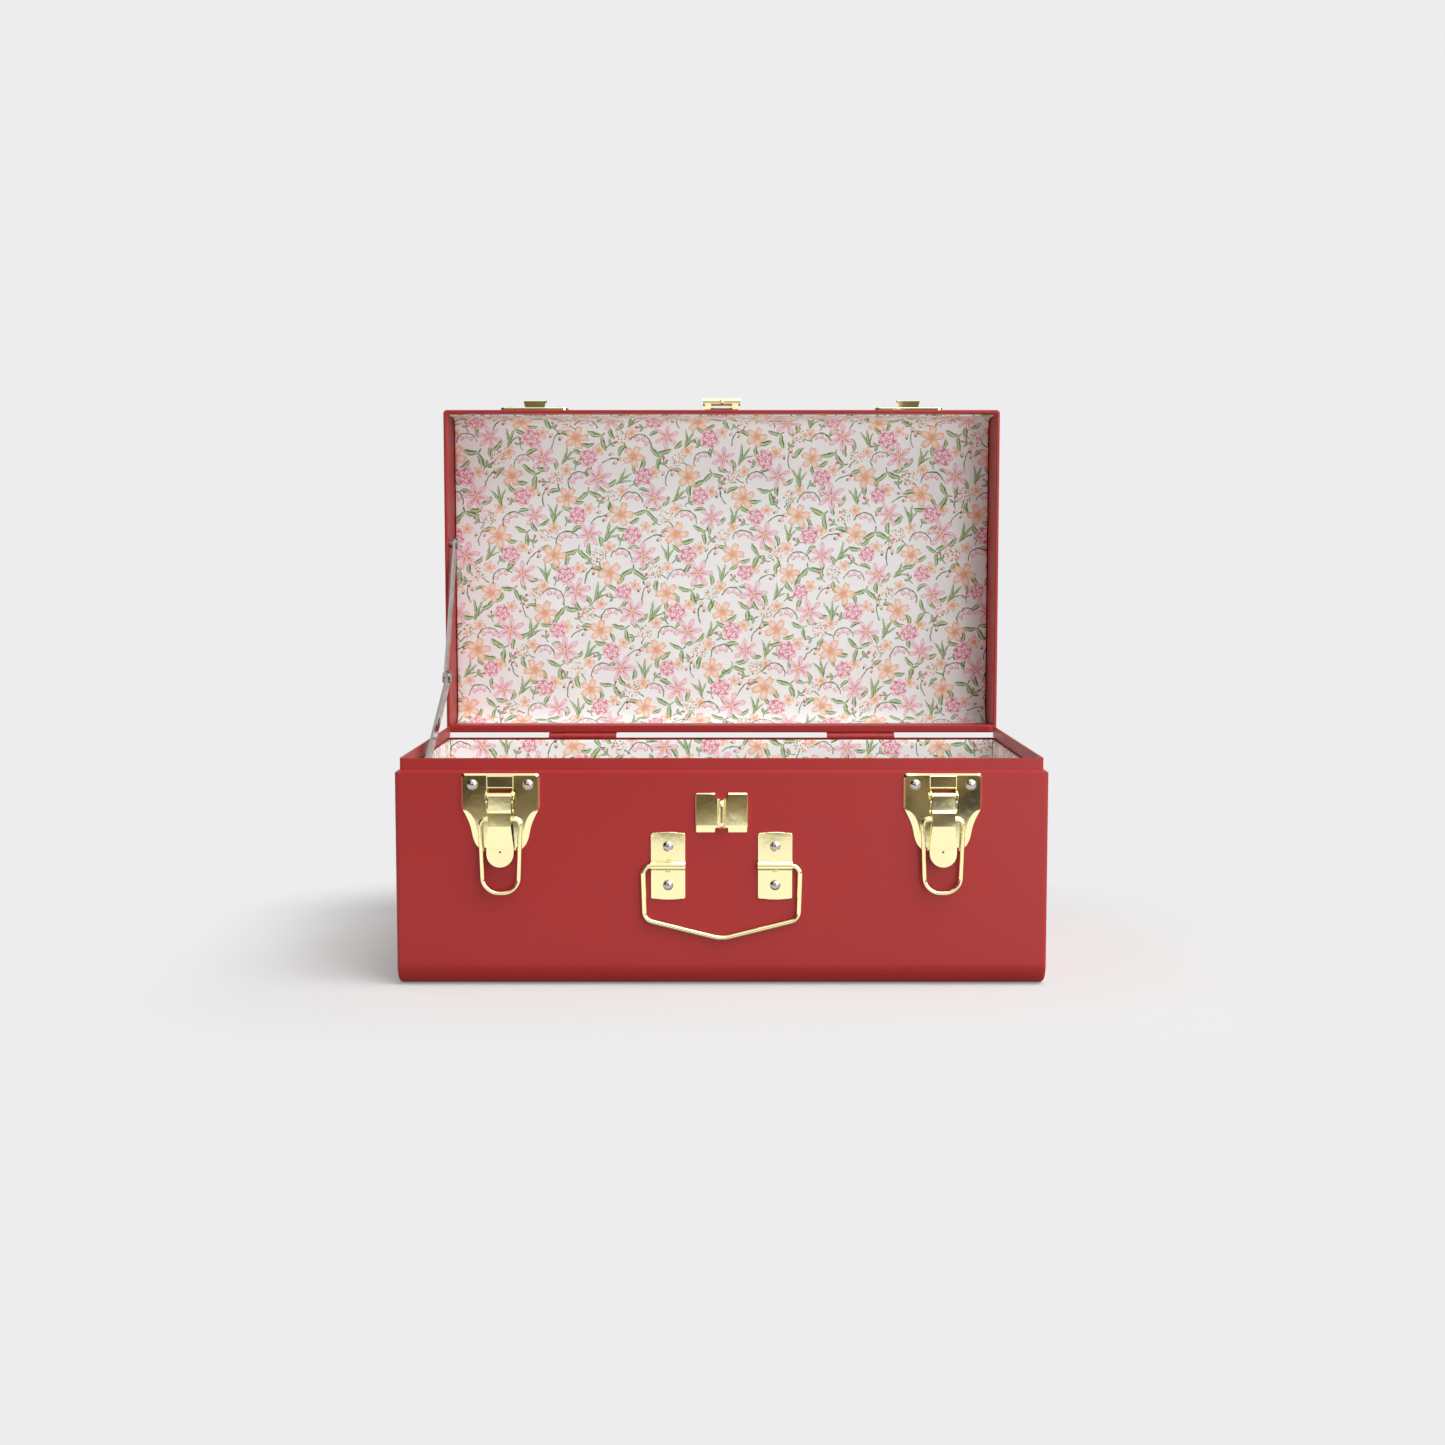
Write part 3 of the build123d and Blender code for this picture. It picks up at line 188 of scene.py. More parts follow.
print("a tree's helpers:", [name for name in vars(Graph) if name[0] != "_"])

# %% [markdown]
# Colours are written as on a paint card, with two digits each for red, green and blue. Blender mixes light
# in linear numbers, so one function turns the card's numbers into those.

# %% Read a paint card
def colour(text):
    """A colour written as on a paint card, as linear numbers."""
    values = [int(text[i:i + 2], 16) / 255 for i in (0, 2, 4)]
    linear = [v / 12.92 if v <= 0.04045 else ((v + 0.055) / 1.055) ** 2.4 for v in values]
    return (*linear, 1.0)


print("red card:", [round(v, 3) for v in colour("A93232")])

# %% [markdown]
# The studio is plain. The camera sees one even pale grey, without a horizon. Polished metal shows the room
# rather than itself, so for reflections there is a room of its own: a dim wall near the horizon, dark
# sides, and a bright ceiling with a dark curtain on the left. A photographed sky would do it as well, but a
# few smooth steps are easier to tune, and they are what puts olive darks and cream lights into the gold.

# %% Build the room that metal reflects
BACKDROP = colour("EDEDED")
ROOM_DARK = (0.02, 0.018, 0.012, 1.0)
ROOM_DIM = (0.27, 0.205, 0.13, 1.0)
CEILING = (1.02, 1.01, 1.0, 1.0)
AMBIENT = (0.31, 0.31, 0.31, 1.0)
WALL_FROM, WALL_TO, WALL_SHARE = -0.02, 0.05, 0.6
CEILING_FROM, CEILING_TO = 0.05, 0.24
CURTAIN_FROM, CURTAIN_TO = 0.3, 0.62
CURTAIN_LOW, CURTAIN_HIGH = 0.05, 0.3
SIDE_FROM, SIDE_TO, SIDE_SHARE = 0.72, 0.85, 0.8


def make_world():
    """Even light for the trunk, the backdrop for the camera, and a room for reflections."""
    world = bpy.data.worlds.new("studio")
    bpy.context.scene.world = world
    g = Graph(world)
    x, _, z = g.split(g.node("ShaderNodeTexCoord", output="Generated"))
    curtain = g.smooth(x * -1.0, CURTAIN_FROM, CURTAIN_TO) * g.smooth(z, CURTAIN_LOW, CURTAIN_HIGH)
    ceiling = g.mix(curtain, CEILING, ROOM_DARK)
    wall = g.mix(g.smooth(z, WALL_FROM, WALL_TO) * WALL_SHARE, ROOM_DIM, ROOM_DARK)
    room = g.mix(g.smooth(z, CEILING_FROM, CEILING_TO), wall, ceiling)
    room = g.mix(g.smooth(abs(x), SIDE_FROM, SIDE_TO) * SIDE_SHARE, room, ROOM_DARK)
    light = g.mix(g.path("Is Glossy Ray"), AMBIENT, room)
    shade = g.mix(g.path("Is Camera Ray"), light, BACKDROP)
    g.node("ShaderNodeOutputWorld", None, [g.node("ShaderNodeBackground", None, [shade, 1.0])])


make_world()
print("room reaches from", ROOM_DARK[:3], "to", CEILING[:3])

# %% [markdown]
# The floor plays three parts. Near the trunk the camera sees a lit floor, which keeps the soft shadow, and
# a little further out it fades into the backdrop. For reflections the floor glows with painted light: metal
# sees a white table top, darkened close to the trunk by a painted shadow, that ends in front of it on a dark
# floor with dim blotches. Every other ray meets a plain pale floor, whose light comes back to the trunk from
# below. One white paint for all three would be simpler, but gold that mirrors nothing but white looks like
# cream paint.

# %% Paint the floor
FLOOR_GREY = (0.66, 0.66, 0.66, 1.0)
FLOOR_SHADE = (0.60, 0.60, 0.60, 1.0)
FLOOR_GLOW = (0.194, 0.194, 0.194, 1.0)
TABLE_LIGHT = (1.06, 1.04, 1.02, 1.0)
FOOT_X, FOOT_Y = 0.15, 0.09
NEAR, FAR = 0.04, 0.14
PAINTED_SHADE_SHARE, PAINTED_SHADE_REACH = 0.15, 0.05
TABLE_FROM, TABLE_TO = 0.595, 0.632
DARK_HALF, DARK_END = 1.0, 1.6
DARK_FLOOR_SPOTS, DARK_FLOOR_FROM, DARK_FLOOR_TO = 5.0, 0.42, 0.60


def finish_floor():
    """A shadow and the backdrop for the camera, and a painted table top and dark floor for reflections."""
    material = bpy.data.materials.new("floor")
    g = Graph(material)
    place = g.place()
    x, y, _ = g.split(place)
    beside, before = g.math("MAXIMUM", abs(x) - FOOT_X, 0.0), g.math("MAXIMUM", abs(y) - FOOT_Y, 0.0)
    away = g.math("SQRT", beside * beside + before * before)

    # Painted shadow: the table that metal mirrors is darkened close to the trunk, a contact shadow painted
    # into its reflection.
    painted_contact_shade = PAINTED_SHADE_SHARE + g.smooth(away, 0.0, PAINTED_SHADE_REACH) * (1 - PAINTED_SHADE_SHARE)
    table = g.mix(painted_contact_shade, ROOM_DARK, TABLE_LIGHT)
    # Painted reflection: beyond the table, metal mirrors a dark floor that glows with dim blotches from a
    # noise.
    reflected_dark_floor = g.mix(g.smooth(g.noise(place, DARK_FLOOR_SPOTS), DARK_FLOOR_FROM, DARK_FLOOR_TO), ROOM_DARK, ROOM_DIM)
    beyond = g.smooth(y * -1.0, TABLE_FROM, TABLE_TO) * (1 - g.smooth(abs(x), DARK_HALF, DARK_END))
    mirrored = g.node("ShaderNodeEmission", None, [g.mix(beyond, table, reflected_dark_floor), 1.0])

    glow = g.node("ShaderNodeEmission", None, [FLOOR_GLOW, 1.0])
    shade = g.node("ShaderNodeBsdfDiffuse", None, [FLOOR_SHADE])
    shaded = g.node("ShaderNodeAddShader", None, [shade, glow])
    plain = g.node("ShaderNodeEmission", None, [BACKDROP, 1.0])
    seen = g.node("ShaderNodeMixShader", None, [g.smooth(away, NEAR, FAR), shaded, plain])

    lit = g.node("ShaderNodeBsdfDiffuse", None, [FLOOR_GREY])
    surface = g.node("ShaderNodeMixShader", None, [g.path("Is Glossy Ray"), lit, mirrored])
    surface = g.node("ShaderNodeMixShader", None, [g.path("Is Camera Ray"), surface, seen])
    g.node("ShaderNodeOutputMaterial", None, [surface])
    return material


floor_finish = finish_floor()
print("table top ends", TABLE_FROM, "m in front")

# %% [markdown]
# The floor itself is one flat disc, so wide that its edge never comes into view. It isn't part of the trunk.

# %% Lay the floor
FLOOR_REACH = 12.0
FLOOR_SIDES = 64

floor_mesh = bpy.data.meshes.new("floor")
turns = [math.tau * i / FLOOR_SIDES for i in range(FLOOR_SIDES)]
ring = [(FLOOR_REACH * math.cos(turn), FLOOR_REACH * math.sin(turn), 0) for turn in turns]
floor_mesh.from_pydata(ring, [], [list(range(FLOOR_SIDES))])
floor_mesh.materials.append(floor_finish)
floor = bpy.data.objects.new("floor", floor_mesh)
bpy.context.scene.collection.objects.link(floor)
print("floor reaches", FLOOR_REACH, "m")

# %% [markdown]
# A sun and two soft boxes light the trunk. The sun is broad and high on the right: it lays the same soft
# light on the whole floor, throws the shadow to the left and reaches down into the open base. One box
# stands low in front on the right and gives the enamel its sheen, and the other lightens the right half of
# the front. A single small lamp would draw hard edges, which the photograph doesn't have.

# %% Hang the lamps
SUN_STRENGTH, SUN_ANGLE, SUN_FROM = 2.30, 55.0, (1.0, -0.85, 2.2)
BOX_TARGET = (0.05, 0, 0.08)
BOXES = (
    ("front box", 0.36, 2.6, (0.50, -1.02, 0.27)),
    ("side box", 0.6, 2.35, (1.0, -0.50, 0.45)),
)


def hang(name, lamp, place, target):
    """Hang a lamp at a place and point it at a target."""
    holder = bpy.data.objects.new(name, lamp)
    holder.location = place
    holder.rotation_euler = (Vector(target) - Vector(place)).to_track_quat("-Z", "Y").to_euler()
    bpy.context.scene.collection.objects.link(holder)


sun = bpy.data.lights.new("sun", "SUN")
sun.energy = SUN_STRENGTH
sun.angle = math.radians(SUN_ANGLE)
hang("sun", sun, SUN_FROM, (0, 0, 0))
for name, size, energy, place in BOXES:
    box = bpy.data.lights.new(name, "AREA")
    box.shape = "SQUARE"
    box.size = size
    box.energy = energy
    hang(name, box, place, BOX_TARGET)

# %% [markdown]
# Enamel on sheet steel is an even red with a satin shine. It was sprayed, so it has a very fine orange
# peel, which shows only as a soft unevenness in the shine. A glossy coat over a rough base would look like
# plastic, so this is one satin layer with two layers of noise: a fine one in the bump, and a broad, faint
# one in the colour and the roughness.

# %% Mix the red enamel
ENAMEL_RED = colour("A51717")
ENAMEL_DEEP = colour("9E1414")
PATCH_SPOTS = 14.0
SATIN, SATIN_SWAY = 0.40, 0.10
PEEL_SPOTS = 900.0
PEEL = {"Strength": 0.12, "Distance": 0.1 * MM}


def finish_enamel():
    """Sprayed red enamel."""
    material = bpy.data.materials.new("red enamel")
    g = Graph(material)
    place = g.place()
    patch = g.noise(place, PATCH_SPOTS)
    peel = g.noise(place, PEEL_SPOTS, 1.0)
    paint = {
        "Base Color": g.mix(patch, ENAMEL_RED, ENAMEL_DEEP),
        "Roughness": SATIN + patch * SATIN_SWAY,
        "Normal": g.node("ShaderNodeBump", None, {**PEEL, "Height": peel}),
        "Specular IOR Level": 0.55,
    }
    shader = g.node("ShaderNodeBsdfPrincipled", None, paint)
    g.node("ShaderNodeOutputMaterial", None, [shader])
    return material


enamel = finish_enamel()
print("enamel nodes:", len(enamel.node_tree.nodes))

# %% [markdown]
# The plated metals differ in colour and polish only, so one function makes them all. Plating over pressed
# steel is never quite flat. A slow crown, stretched along the height, bends the reflections into upright
# bands, a small ripple breaks them up, and fine noise in the roughness stands for handling marks. Bending
# the mesh would do the same, but the packed solids stay as they are, so it is done in the bump. The crown
# reads a height that is squeezed, and that is what stretches it.

# %% Plate the metals
CROWN_SPOTS, CROWN_DEPTH, HEIGHT_SQUEEZE = 55.0, 2.0 * MM, 0.12
WAVE_SPOTS, WAVE_DEPTH = 220.0, 0.4 * MM
MARK_SPOTS, MARK_DULL = 1500.0, 0.06


def finish_metal(name, tone, rough, wave, crown):
    """Plated or polished metal with faint handling marks, a small ripple and a slow crown."""
    material = bpy.data.materials.new(name)
    g = Graph(material)
    place = g.place()
    x, y, z = g.split(place)
    tall = g.node("ShaderNodeCombineXYZ", None, [x, y, z * HEIGHT_SQUEEZE])
    slow = {"Strength": crown, "Distance": CROWN_DEPTH, "Height": g.noise(tall, CROWN_SPOTS, 0.0)}
    small = {"Strength": wave, "Distance": WAVE_DEPTH, "Height": g.noise(place, WAVE_SPOTS, 1.0)}
    small["Normal"] = g.node("ShaderNodeBump", None, slow)
    metal = {
        "Base Color": tone,
        "Metallic": 1.0,
        "Roughness": rough + g.noise(place, MARK_SPOTS, 3.0) * MARK_DULL,
        "Normal": g.node("ShaderNodeBump", None, small),
    }
    shader = g.node("ShaderNodeBsdfPrincipled", None, metal)
    g.node("ShaderNodeOutputMaterial", None, [shader])
    return material


gilt = finish_metal("gilt plating", colour("FEF6C1"), rough=0.05, wave=0.035, crown=0.6)
nickel = finish_metal("nickel rivets", colour("BDB8B6"), rough=0.08, wave=0.03, crown=0.0)
bright_steel = finish_metal("bright steel", colour("969492"), rough=0.14, wave=0.04, crown=0.0)
print("metals:", gilt.name, nickel.name, bright_steel.name)

# %% [markdown]
# Each rigid node already has its true shape, so it only needs its finish. The record names a material slot
# for every node, and that slot picks the finish. The linings have a slot of their own, and they are made
# below.

# %% Dress the rigid nodes
FINISHES = {"red_enamel": enamel, "gilt_steel": gilt, "nickel_rivet": nickel, "bright_steel": bright_steel}
slot_of = {part["node"]: part["material_slot"] for part in frame["record"]["subparts"]}
for name, node in nodes.items():
    finish = FINISHES.get(slot_of[name])
    if finish:
        for i in range(len(node.data.materials)):
            node.data.materials[i] = finish
print("dressed:", sum(slot_of[name] in FINISHES for name in nodes))

# %% [markdown]
# ## The printed cloth
#
# The lining carries a generic floral print: pink star flowers, peach poppies, roses, sprigs, leaves and
# blossom. A picture file would show its pixels close up, so the print is drawn with numbers on the cloth's
# own map, in millimetres, and follows the card round its bends. The motifs sit on one honeycomb grid, and
# each kind repeats on a slanted lattice of its own within that grid, so that no kind lines up in stripes.
# Chance turns, shifts and scales each copy a little, as in a tossed print.

# %% Set out the print
GRID = 12.4
ALONG, UPWARD = Vector((GRID, 0)), Vector((GRID / 2, GRID * math.sqrt(3) / 2))
EIGHTH = (UPWARD * 3 - ALONG, ALONG * 3 - UPWARD)
FOURTH = (ALONG + UPWARD, ALONG * 2 - UPWARD * 2)
WANDER = 0.9
SMALLEST, SIZE_SWAY = 0.9, 0.2


def scatter(g, x, y, lattice, site, turn, spread, seed):
    """Coordinates about the nearest copy of a motif, in millimetres, with a chance of its own."""
    a, b = lattice
    area = a.x * b.y - a.y * b.x
    dx, dy = x - site.x, y - site.y
    across = (dx * b.y - dy * b.x) / area + 0.5
    up = (dy * a.x - dx * a.y) / area + 0.5
    column, row = g.math("FLOOR", across), g.math("FLOOR", up)
    key = {"Vector": g.node("ShaderNodeCombineXYZ", None, [column, row, seed])}
    chance = g.split(g.node("ShaderNodeTexWhiteNoise", {"noise_dimensions": "3D"}, key, output="Color"))
    s, t = across - column - 0.5, up - row - 0.5
    u = s * a.x + t * b.x + (chance[0] - 0.5) * (2 * WANDER)
    v = s * a.y + t * b.y + (chance[1] - 0.5) * (2 * WANDER)
    angle = (chance[2] - 0.5) * math.radians(2 * spread) + math.radians(turn)
    c, d = g.math("COSINE", angle), g.math("SINE", angle)
    size = SMALLEST + chance[0] * SIZE_SWAY
    return (u * c + v * d) / size, (v * c - u * d) / size, chance[1]


print("each kind repeats every", round(EIGHTH[0].length, 1), "mm")

# %% [markdown]
# The motifs are drawn with a few simple shapes: a place folded onto one petal of several, an oval, and a
# stroke. Each gives a soft edge, as dye has that sinks into cotton. All their numbers are millimetres on
# the cloth.

# %% Cut the pattern shapes
def polar(g, u, v, count):
    """Distance from the centre, and the same place folded onto one petal of several."""
    r = g.math("SQRT", u * u + v * v)
    step = math.tau / count
    fold = (g.math("ARCTAN2", v, u) + math.pi) % step - step / 2
    return r, r * g.math("COSINE", fold), r * g.math("SINE", fold)


def oval(u, v, centre, length, width):
    """Grows from 0 at an oval's centre to 1 at its edge."""
    a, b = (u - centre) / length, v / width
    return a * a + b * b


def inside(g, value, edge=0.85):
    """A soft-edged mask of what lies within an oval."""
    return 1 - g.smooth(value, edge, 1.0)


def stroke(g, value, half, soft=0.22):
    """A soft-edged mask of a line where a value passes through nought."""
    return 1 - g.smooth(abs(value), half, half + soft)


print("an oval reads", oval(0, 0, 0, 2, 1), "at its centre and", oval(2, 0, 0, 2, 1), "at its edge")

# %% [markdown]
# Each motif is a short function that returns layers, a mask with a colour each. The shapes are simple ovals
# and arcs, folded round a centre or mirrored about a stem, which is how a print designer builds them as
# well. The star flower is the largest: one narrow petal with a vein, folded round six times.

# %% Draw the star flower
PINK_PALE, PINK, PINK_DEEP = colour("FBE3E7"), colour("F1B3C1"), colour("DC7090")
YELLOW = colour("EFC24A")


def star_flower(g, u, v, chance):
    """Six narrow pink petals with a vein each and a yellow eye."""
    r, a, b = polar(g, u, v, 6)
    edge = oval(a, b, 4.3, 3.4, 1.5)
    petal = g.mix(g.smooth(edge, 0.2, 0.9), PINK_PALE, PINK)
    vein = stroke(g, b, 0.16) * (1 - g.smooth(a, 3.2, 6.4))
    rim = g.smooth(edge, 0.72, 0.95) * g.smooth(b, -0.4, 0.8)
    petal = g.mix(g.math("MAXIMUM", vein, rim), petal, PINK_DEEP)
    return [(inside(g, edge), petal), (1 - g.smooth(r, 0.7, 1.2), YELLOW)]


print("star flower:", star_flower.__doc__)

# %% [markdown]
# The poppy has broad petals that meet each other, and a notch in each tip, where the oval is pulled in
# along its middle. The small one is the same drawing with every length scaled, so the two stay kin.

# %% Draw the poppies
PEACH_PALE, PEACH, ORANGE = colour("FCE3CE"), colour("F5BC98"), colour("E88F68")


def poppy(g, u, v, chance, size=1.0):
    """Five broad peach petals, notched at the tip, pale in the middle and darker at root and rim."""
    r, a, b = polar(g, u, v, 5)
    notch = (1 - g.smooth(abs(b), 0.0, 1.1 * size)) * (0.9 * size)
    edge = oval(a + notch, b, 4.1 * size, 3.1 * size, 2.0 * size)
    petal = g.mix(g.smooth(edge, 0.15, 0.8), PEACH_PALE, PEACH)
    root = 1 - g.smooth(a, 0.9 * size, 3.0 * size)
    rim = g.smooth(b, -0.6 * size, 1.4 * size) * g.smooth(edge, 0.5, 0.95)
    petal = g.mix(g.math("MAXIMUM", root * 0.7, rim * 0.8), petal, ORANGE)
    return [(inside(g, edge), petal), (1 - g.smooth(r, 0.5 * size, 1.0 * size), YELLOW)]


def small_poppy(g, u, v, chance):
    """The poppy at half its size."""
    return poppy(g, u, v, chance, 0.52)


print("poppy:", poppy.__doc__)

# %% [markdown]
# A rose has too many petals to draw one by one at this size. It is a swirl instead: a sine over the
# distance makes rings, and a second sine that runs round the centre bends them into curled brush strokes.

# %% Draw the rose
def rose(g, u, v, chance):
    """A round bloom of curled brush strokes."""
    r, a, b = polar(g, u, v, 7)
    wavy = r + b * b * 0.22
    curl = g.math("SINE", g.math("ARCTAN2", v, u) * 5.0 - r * 1.3 + chance * 6.0)
    swirl = g.math("SINE", wavy * 2.2 + curl * 1.7)
    petal = g.mix(g.smooth(swirl, -0.7, 0.1), PINK_PALE, PINK)
    petal = g.mix(g.smooth(swirl, 0.4, 0.95), petal, PINK_DEEP)
    return [(1 - g.smooth(wavy, 5.1, 5.7), petal)]


print("rose:", rose.__doc__)

# %% [markdown]
# Leaves fill the gaps between the flowers. They share one shape, dark at the edges and pale along the
# middle, like a stroke from a loaded brush. The pair is one leaf mirrored about its stem, and the grass is
# three of them from one root, bent more the higher they reach.

# %% Draw the leaves
LEAF_DARK, LEAF, LEAF_PALE = colour("4E7834"), colour("82A85C"), colour("BFD69C")
LEAF_PART = math.radians(46)
BLADES = ((-0.035, 11.5, 0.85), (0.05, 9.6, 0.7), (0.004, 12.6, 0.75))


def leaf(g, along, side, length, width):
    """One leaf from its root, dark at its edges and pale along its middle, as a mask and a colour."""
    edge = oval(along, side, length / 2, length / 2, width)
    tint = g.mix(g.smooth(abs(side + width * 0.15), width * 0.05, width * 0.75), LEAF_PALE, LEAF_DARK)
    return inside(g, edge, 0.8), tint


def leaf_pair(g, u, v, chance):
    """Two leaves that part from a short stem."""
    c, s = math.cos(LEAF_PART), math.sin(LEAF_PART)
    au, low = abs(u), v + 2.6
    along, side = au * s + low * c, au * c - low * s
    stem = stroke(g, u, 0.2) * (1 - g.smooth(abs(v + 3.4), 1.6, 1.9))
    return [(stem, LEAF_DARK), leaf(g, along, side - along * along * 0.03, 8.2, 1.35)]


def grass(g, u, v, chance):
    """Three long curved blades from one root."""
    low = v + 6.0
    return [leaf(g, low, u - low * low * lean, length, width) for lean, length, width in BLADES]


print("a leaf of the pair parts by", round(math.degrees(LEAF_PART)), "degrees from its stem")

# %% [markdown]
# Two smaller green motifs, a lone leaf and a twig with a bud, go where the ground would otherwise show in
# bare patches. Both are bent by a square of their own height, which is the cheapest curve there is.

# %% Draw the small greenery
def lone_leaf(g, u, v, chance):
    """One slim leaf with a bent back."""
    return [leaf(g, v + 3.8, u - v * v * 0.06, 7.6, 1.25)]


def twig(g, u, v, chance):
    """A little curved stem with two small leaves and a bud."""
    stem = stroke(g, u - v * v * 0.08, 0.16) * (1 - g.smooth(abs(v), 2.8, 3.1))
    pair = leaf(g, abs(u) * 0.8 + v * 0.6 + 0.4, abs(u) * 0.6 - v * 0.8, 3.6, 0.75)
    bud = oval(u - 0.7, v - 3.2, 0.0, 0.85, 1.1)
    return [(stem, LEAF_DARK), pair, (inside(g, bud, 0.7), PINK_DEEP)]


print("twig:", twig.__doc__)

# %% [markdown]
# The sprig has three closed buds, each an oval in a dark cup that fades from peach to pink. A small table
# holds where they sit and how large they are, so that they can be moved without touching the drawing.

# %% Draw the bud sprig
BUDS = ((1.2, 5.0, 1.15), (2.7, 2.2, 1.0), (-2.2, 1.0, 0.95))


def bud_sprig(g, u, v, chance):
    """A bent stem with three closed buds."""
    stem = stroke(g, u - v * v * 0.05, 0.2) * (1 - g.smooth(abs(v + 0.6), 4.6, 5.0))
    layers = [(stem, LEAF_DARK)]
    for x, y, r in BUDS:
        near = oval(u - x, v - y, 0.0, r, r * 1.35)
        tint = g.mix(g.smooth(near - (v - y) * 0.3, 0.0, 0.9), PEACH_PALE, PINK_DEEP)
        cup = oval(u - x, v - y + r * 1.2, 0.0, r * 0.7, r * 0.5)
        layers += [(inside(g, near, 0.75), tint), (inside(g, cup, 0.75), LEAF_DARK)]
    return layers


print("buds on a sprig:", len(BUDS))

# %% [markdown]
# The blossom is a loose ball of tiny dots. A table of dots would make every ball the same, so a Voronoi
# pattern scatters them, and the chance in each of its cells picks green, peach or orange.

# %% Draw the blossom
def blossom(g, u, v, chance):
    """A loose ball of tiny blossoms on a short stem."""
    r = g.math("SQRT", u * u + v * v)
    spot = {"Vector": g.node("ShaderNodeCombineXYZ", None, [u, v, chance * 7.0]), "Scale": 0.9}
    cell = g.node("ShaderNodeTexVoronoi", {"voronoi_dimensions": "3D"}, spot)
    pick = g.split(g.other(cell, "Color"))[0]
    dot = (1 - g.smooth(cell, 0.38, 0.5)) * (1 - g.smooth(r, 3.8, 4.6))
    stem = stroke(g, u, 0.18) * (1 - g.smooth(abs(v + 5.2), 2.0, 2.4))
    tint = g.mix(g.smooth(pick, 0.25, 0.35), LEAF, g.mix(g.smooth(pick, 0.55, 0.65), PEACH, ORANGE))
    return [(stem, LEAF_DARK), (dot, tint)]


print("blossom:", blossom.__doc__)

# %% [markdown]
# The bells hang from a hoop. The angle round the hoop, folded at even steps, repeats one bell along it, and
# each bell is an oval that widens towards its mouth.

# %% Draw the bells
BELL_STEP = math.radians(46)


def bells(g, u, v, chance):
    """A hooped stem with small pink bells hanging from it."""
    low = v + 3.6
    r = g.math("SQRT", u * u + low * low)
    around = g.math("ARCTAN2", low, u)
    hoop = stroke(g, r - 6.0, 0.2) * g.smooth(around, 0.05, 0.3)
    side = ((around + BELL_STEP / 2) % BELL_STEP - BELL_STEP / 2) * 5.0
    bell = oval(r, side + (r - 4.4) * side * 0.45, 4.4, 1.7, 1.25)
    keep = g.smooth(around, 0.3, 0.4) * (1 - g.smooth(around, 2.7, 2.8))
    tint = g.mix(g.smooth(bell, 0.1, 0.9), PINK_PALE, PINK_DEEP)
    return [(hoop, LEAF_DARK), (inside(g, bell, 0.7) * keep, tint)]


print("a bell hangs every", round(math.degrees(BELL_STEP)), "degrees")

# %% [markdown]
# The print is a list: each motif with its lattice, its site in the grid, its turn and how far chance may
# turn it, in degrees. The small leaves come first and the large flowers last, because a later motif is laid
# over an earlier one.

# %% List the motifs
BETWEEN = (ALONG + UPWARD) / 3
PRINT = (
    (lone_leaf, FOURTH, BETWEEN + ALONG, 60, 70),
    (lone_leaf, FOURTH, BETWEEN + ALONG * 3, -50, 70),
    (lone_leaf, FOURTH, BETWEEN * 2 + ALONG, 150, 70),
    (twig, FOURTH, BETWEEN * 2 + ALONG * 2, 20, 90),
    (small_poppy, FOURTH, BETWEEN + ALONG * 2, 0, 90),
    (grass, EIGHTH, ALONG * 1, -18, 35),
    (bells, EIGHTH, ALONG * 7, 0, 30),
    (leaf_pair, EIGHTH, ALONG * 5, 140, 60),
    (bud_sprig, EIGHTH, ALONG * 3, -30, 50),
    (blossom, EIGHTH, ALONG * 6, 10, 60),
    (rose, EIGHTH, ALONG * 2, 0, 90),
    (poppy, EIGHTH, ALONG * 4, 0, 90),
    (star_flower, EIGHTH, ALONG * 0, 0, 90),
)
print("motifs:", len(PRINT))

# %% [markdown]
# The cloth itself is an off-white cotton. Its weave is too fine to see from a step away, but it softens the
# shine, so it goes into the bump. The motifs are laid on the ground colour one after another. A slow drift
# of the map makes their outlines a little uneven, and a noise thins the dye here and there like watercolour.

# %% Print the cloth
CLOTH_MAP = "cloth"
GROUND = colour("FAFBFB")
DRIFT_SPOTS, DRIFT = 330.0, 1.6
WASH_SPOTS, WASH_THIN, WASH_SWAY = 600.0, 0.52, 0.8
THREADS = 2600.0
WEAVE = {"Strength": 0.15, "Distance": 0.1 * MM}


def finish_cloth():
    """Off-white cotton with the floral print."""
    material = bpy.data.materials.new("floral cloth")
    g = Graph(material)
    flat = g.node("ShaderNodeUVMap", {"uv_map": CLOTH_MAP})
    slow = {"Vector": flat, "Scale": DRIFT_SPOTS, "Detail": 1.0}
    dx, dy, _ = g.split(g.node("ShaderNodeTexNoise", None, slow, output="Color"))
    mx, my, _ = g.split(flat)
    x, y = mx * (1 / MM) + (dx - 0.5) * DRIFT, my * (1 / MM) + (dy - 0.5) * DRIFT
    wash = WASH_THIN + g.noise(flat, WASH_SPOTS) * WASH_SWAY
    shade = GROUND
    for seed, (motif, lattice, site, turn, spread) in enumerate(PRINT):
        u, v, chance = scatter(g, x, y, lattice, site, turn, spread, float(seed))
        for mask, tint in motif(g, u, v, chance):
            shade = g.mix(mask * wash, shade, tint)
    weft = g.math("SINE", mx * (THREADS * math.tau)) * g.math("SINE", my * (THREADS * math.tau))
    bump = g.node("ShaderNodeBump", None, {**WEAVE, "Height": weft})
    cotton = {"Base Color": shade, "Roughness": 0.85, "Normal": bump, "Sheen Weight": 0.1}
    shader = g.node("ShaderNodeBsdfPrincipled", None, cotton)
    g.node("ShaderNodeOutputMaterial", None, [shader])
    return material


cloth = finish_cloth()
print("cloth nodes:", len(cloth.node_tree.nodes))

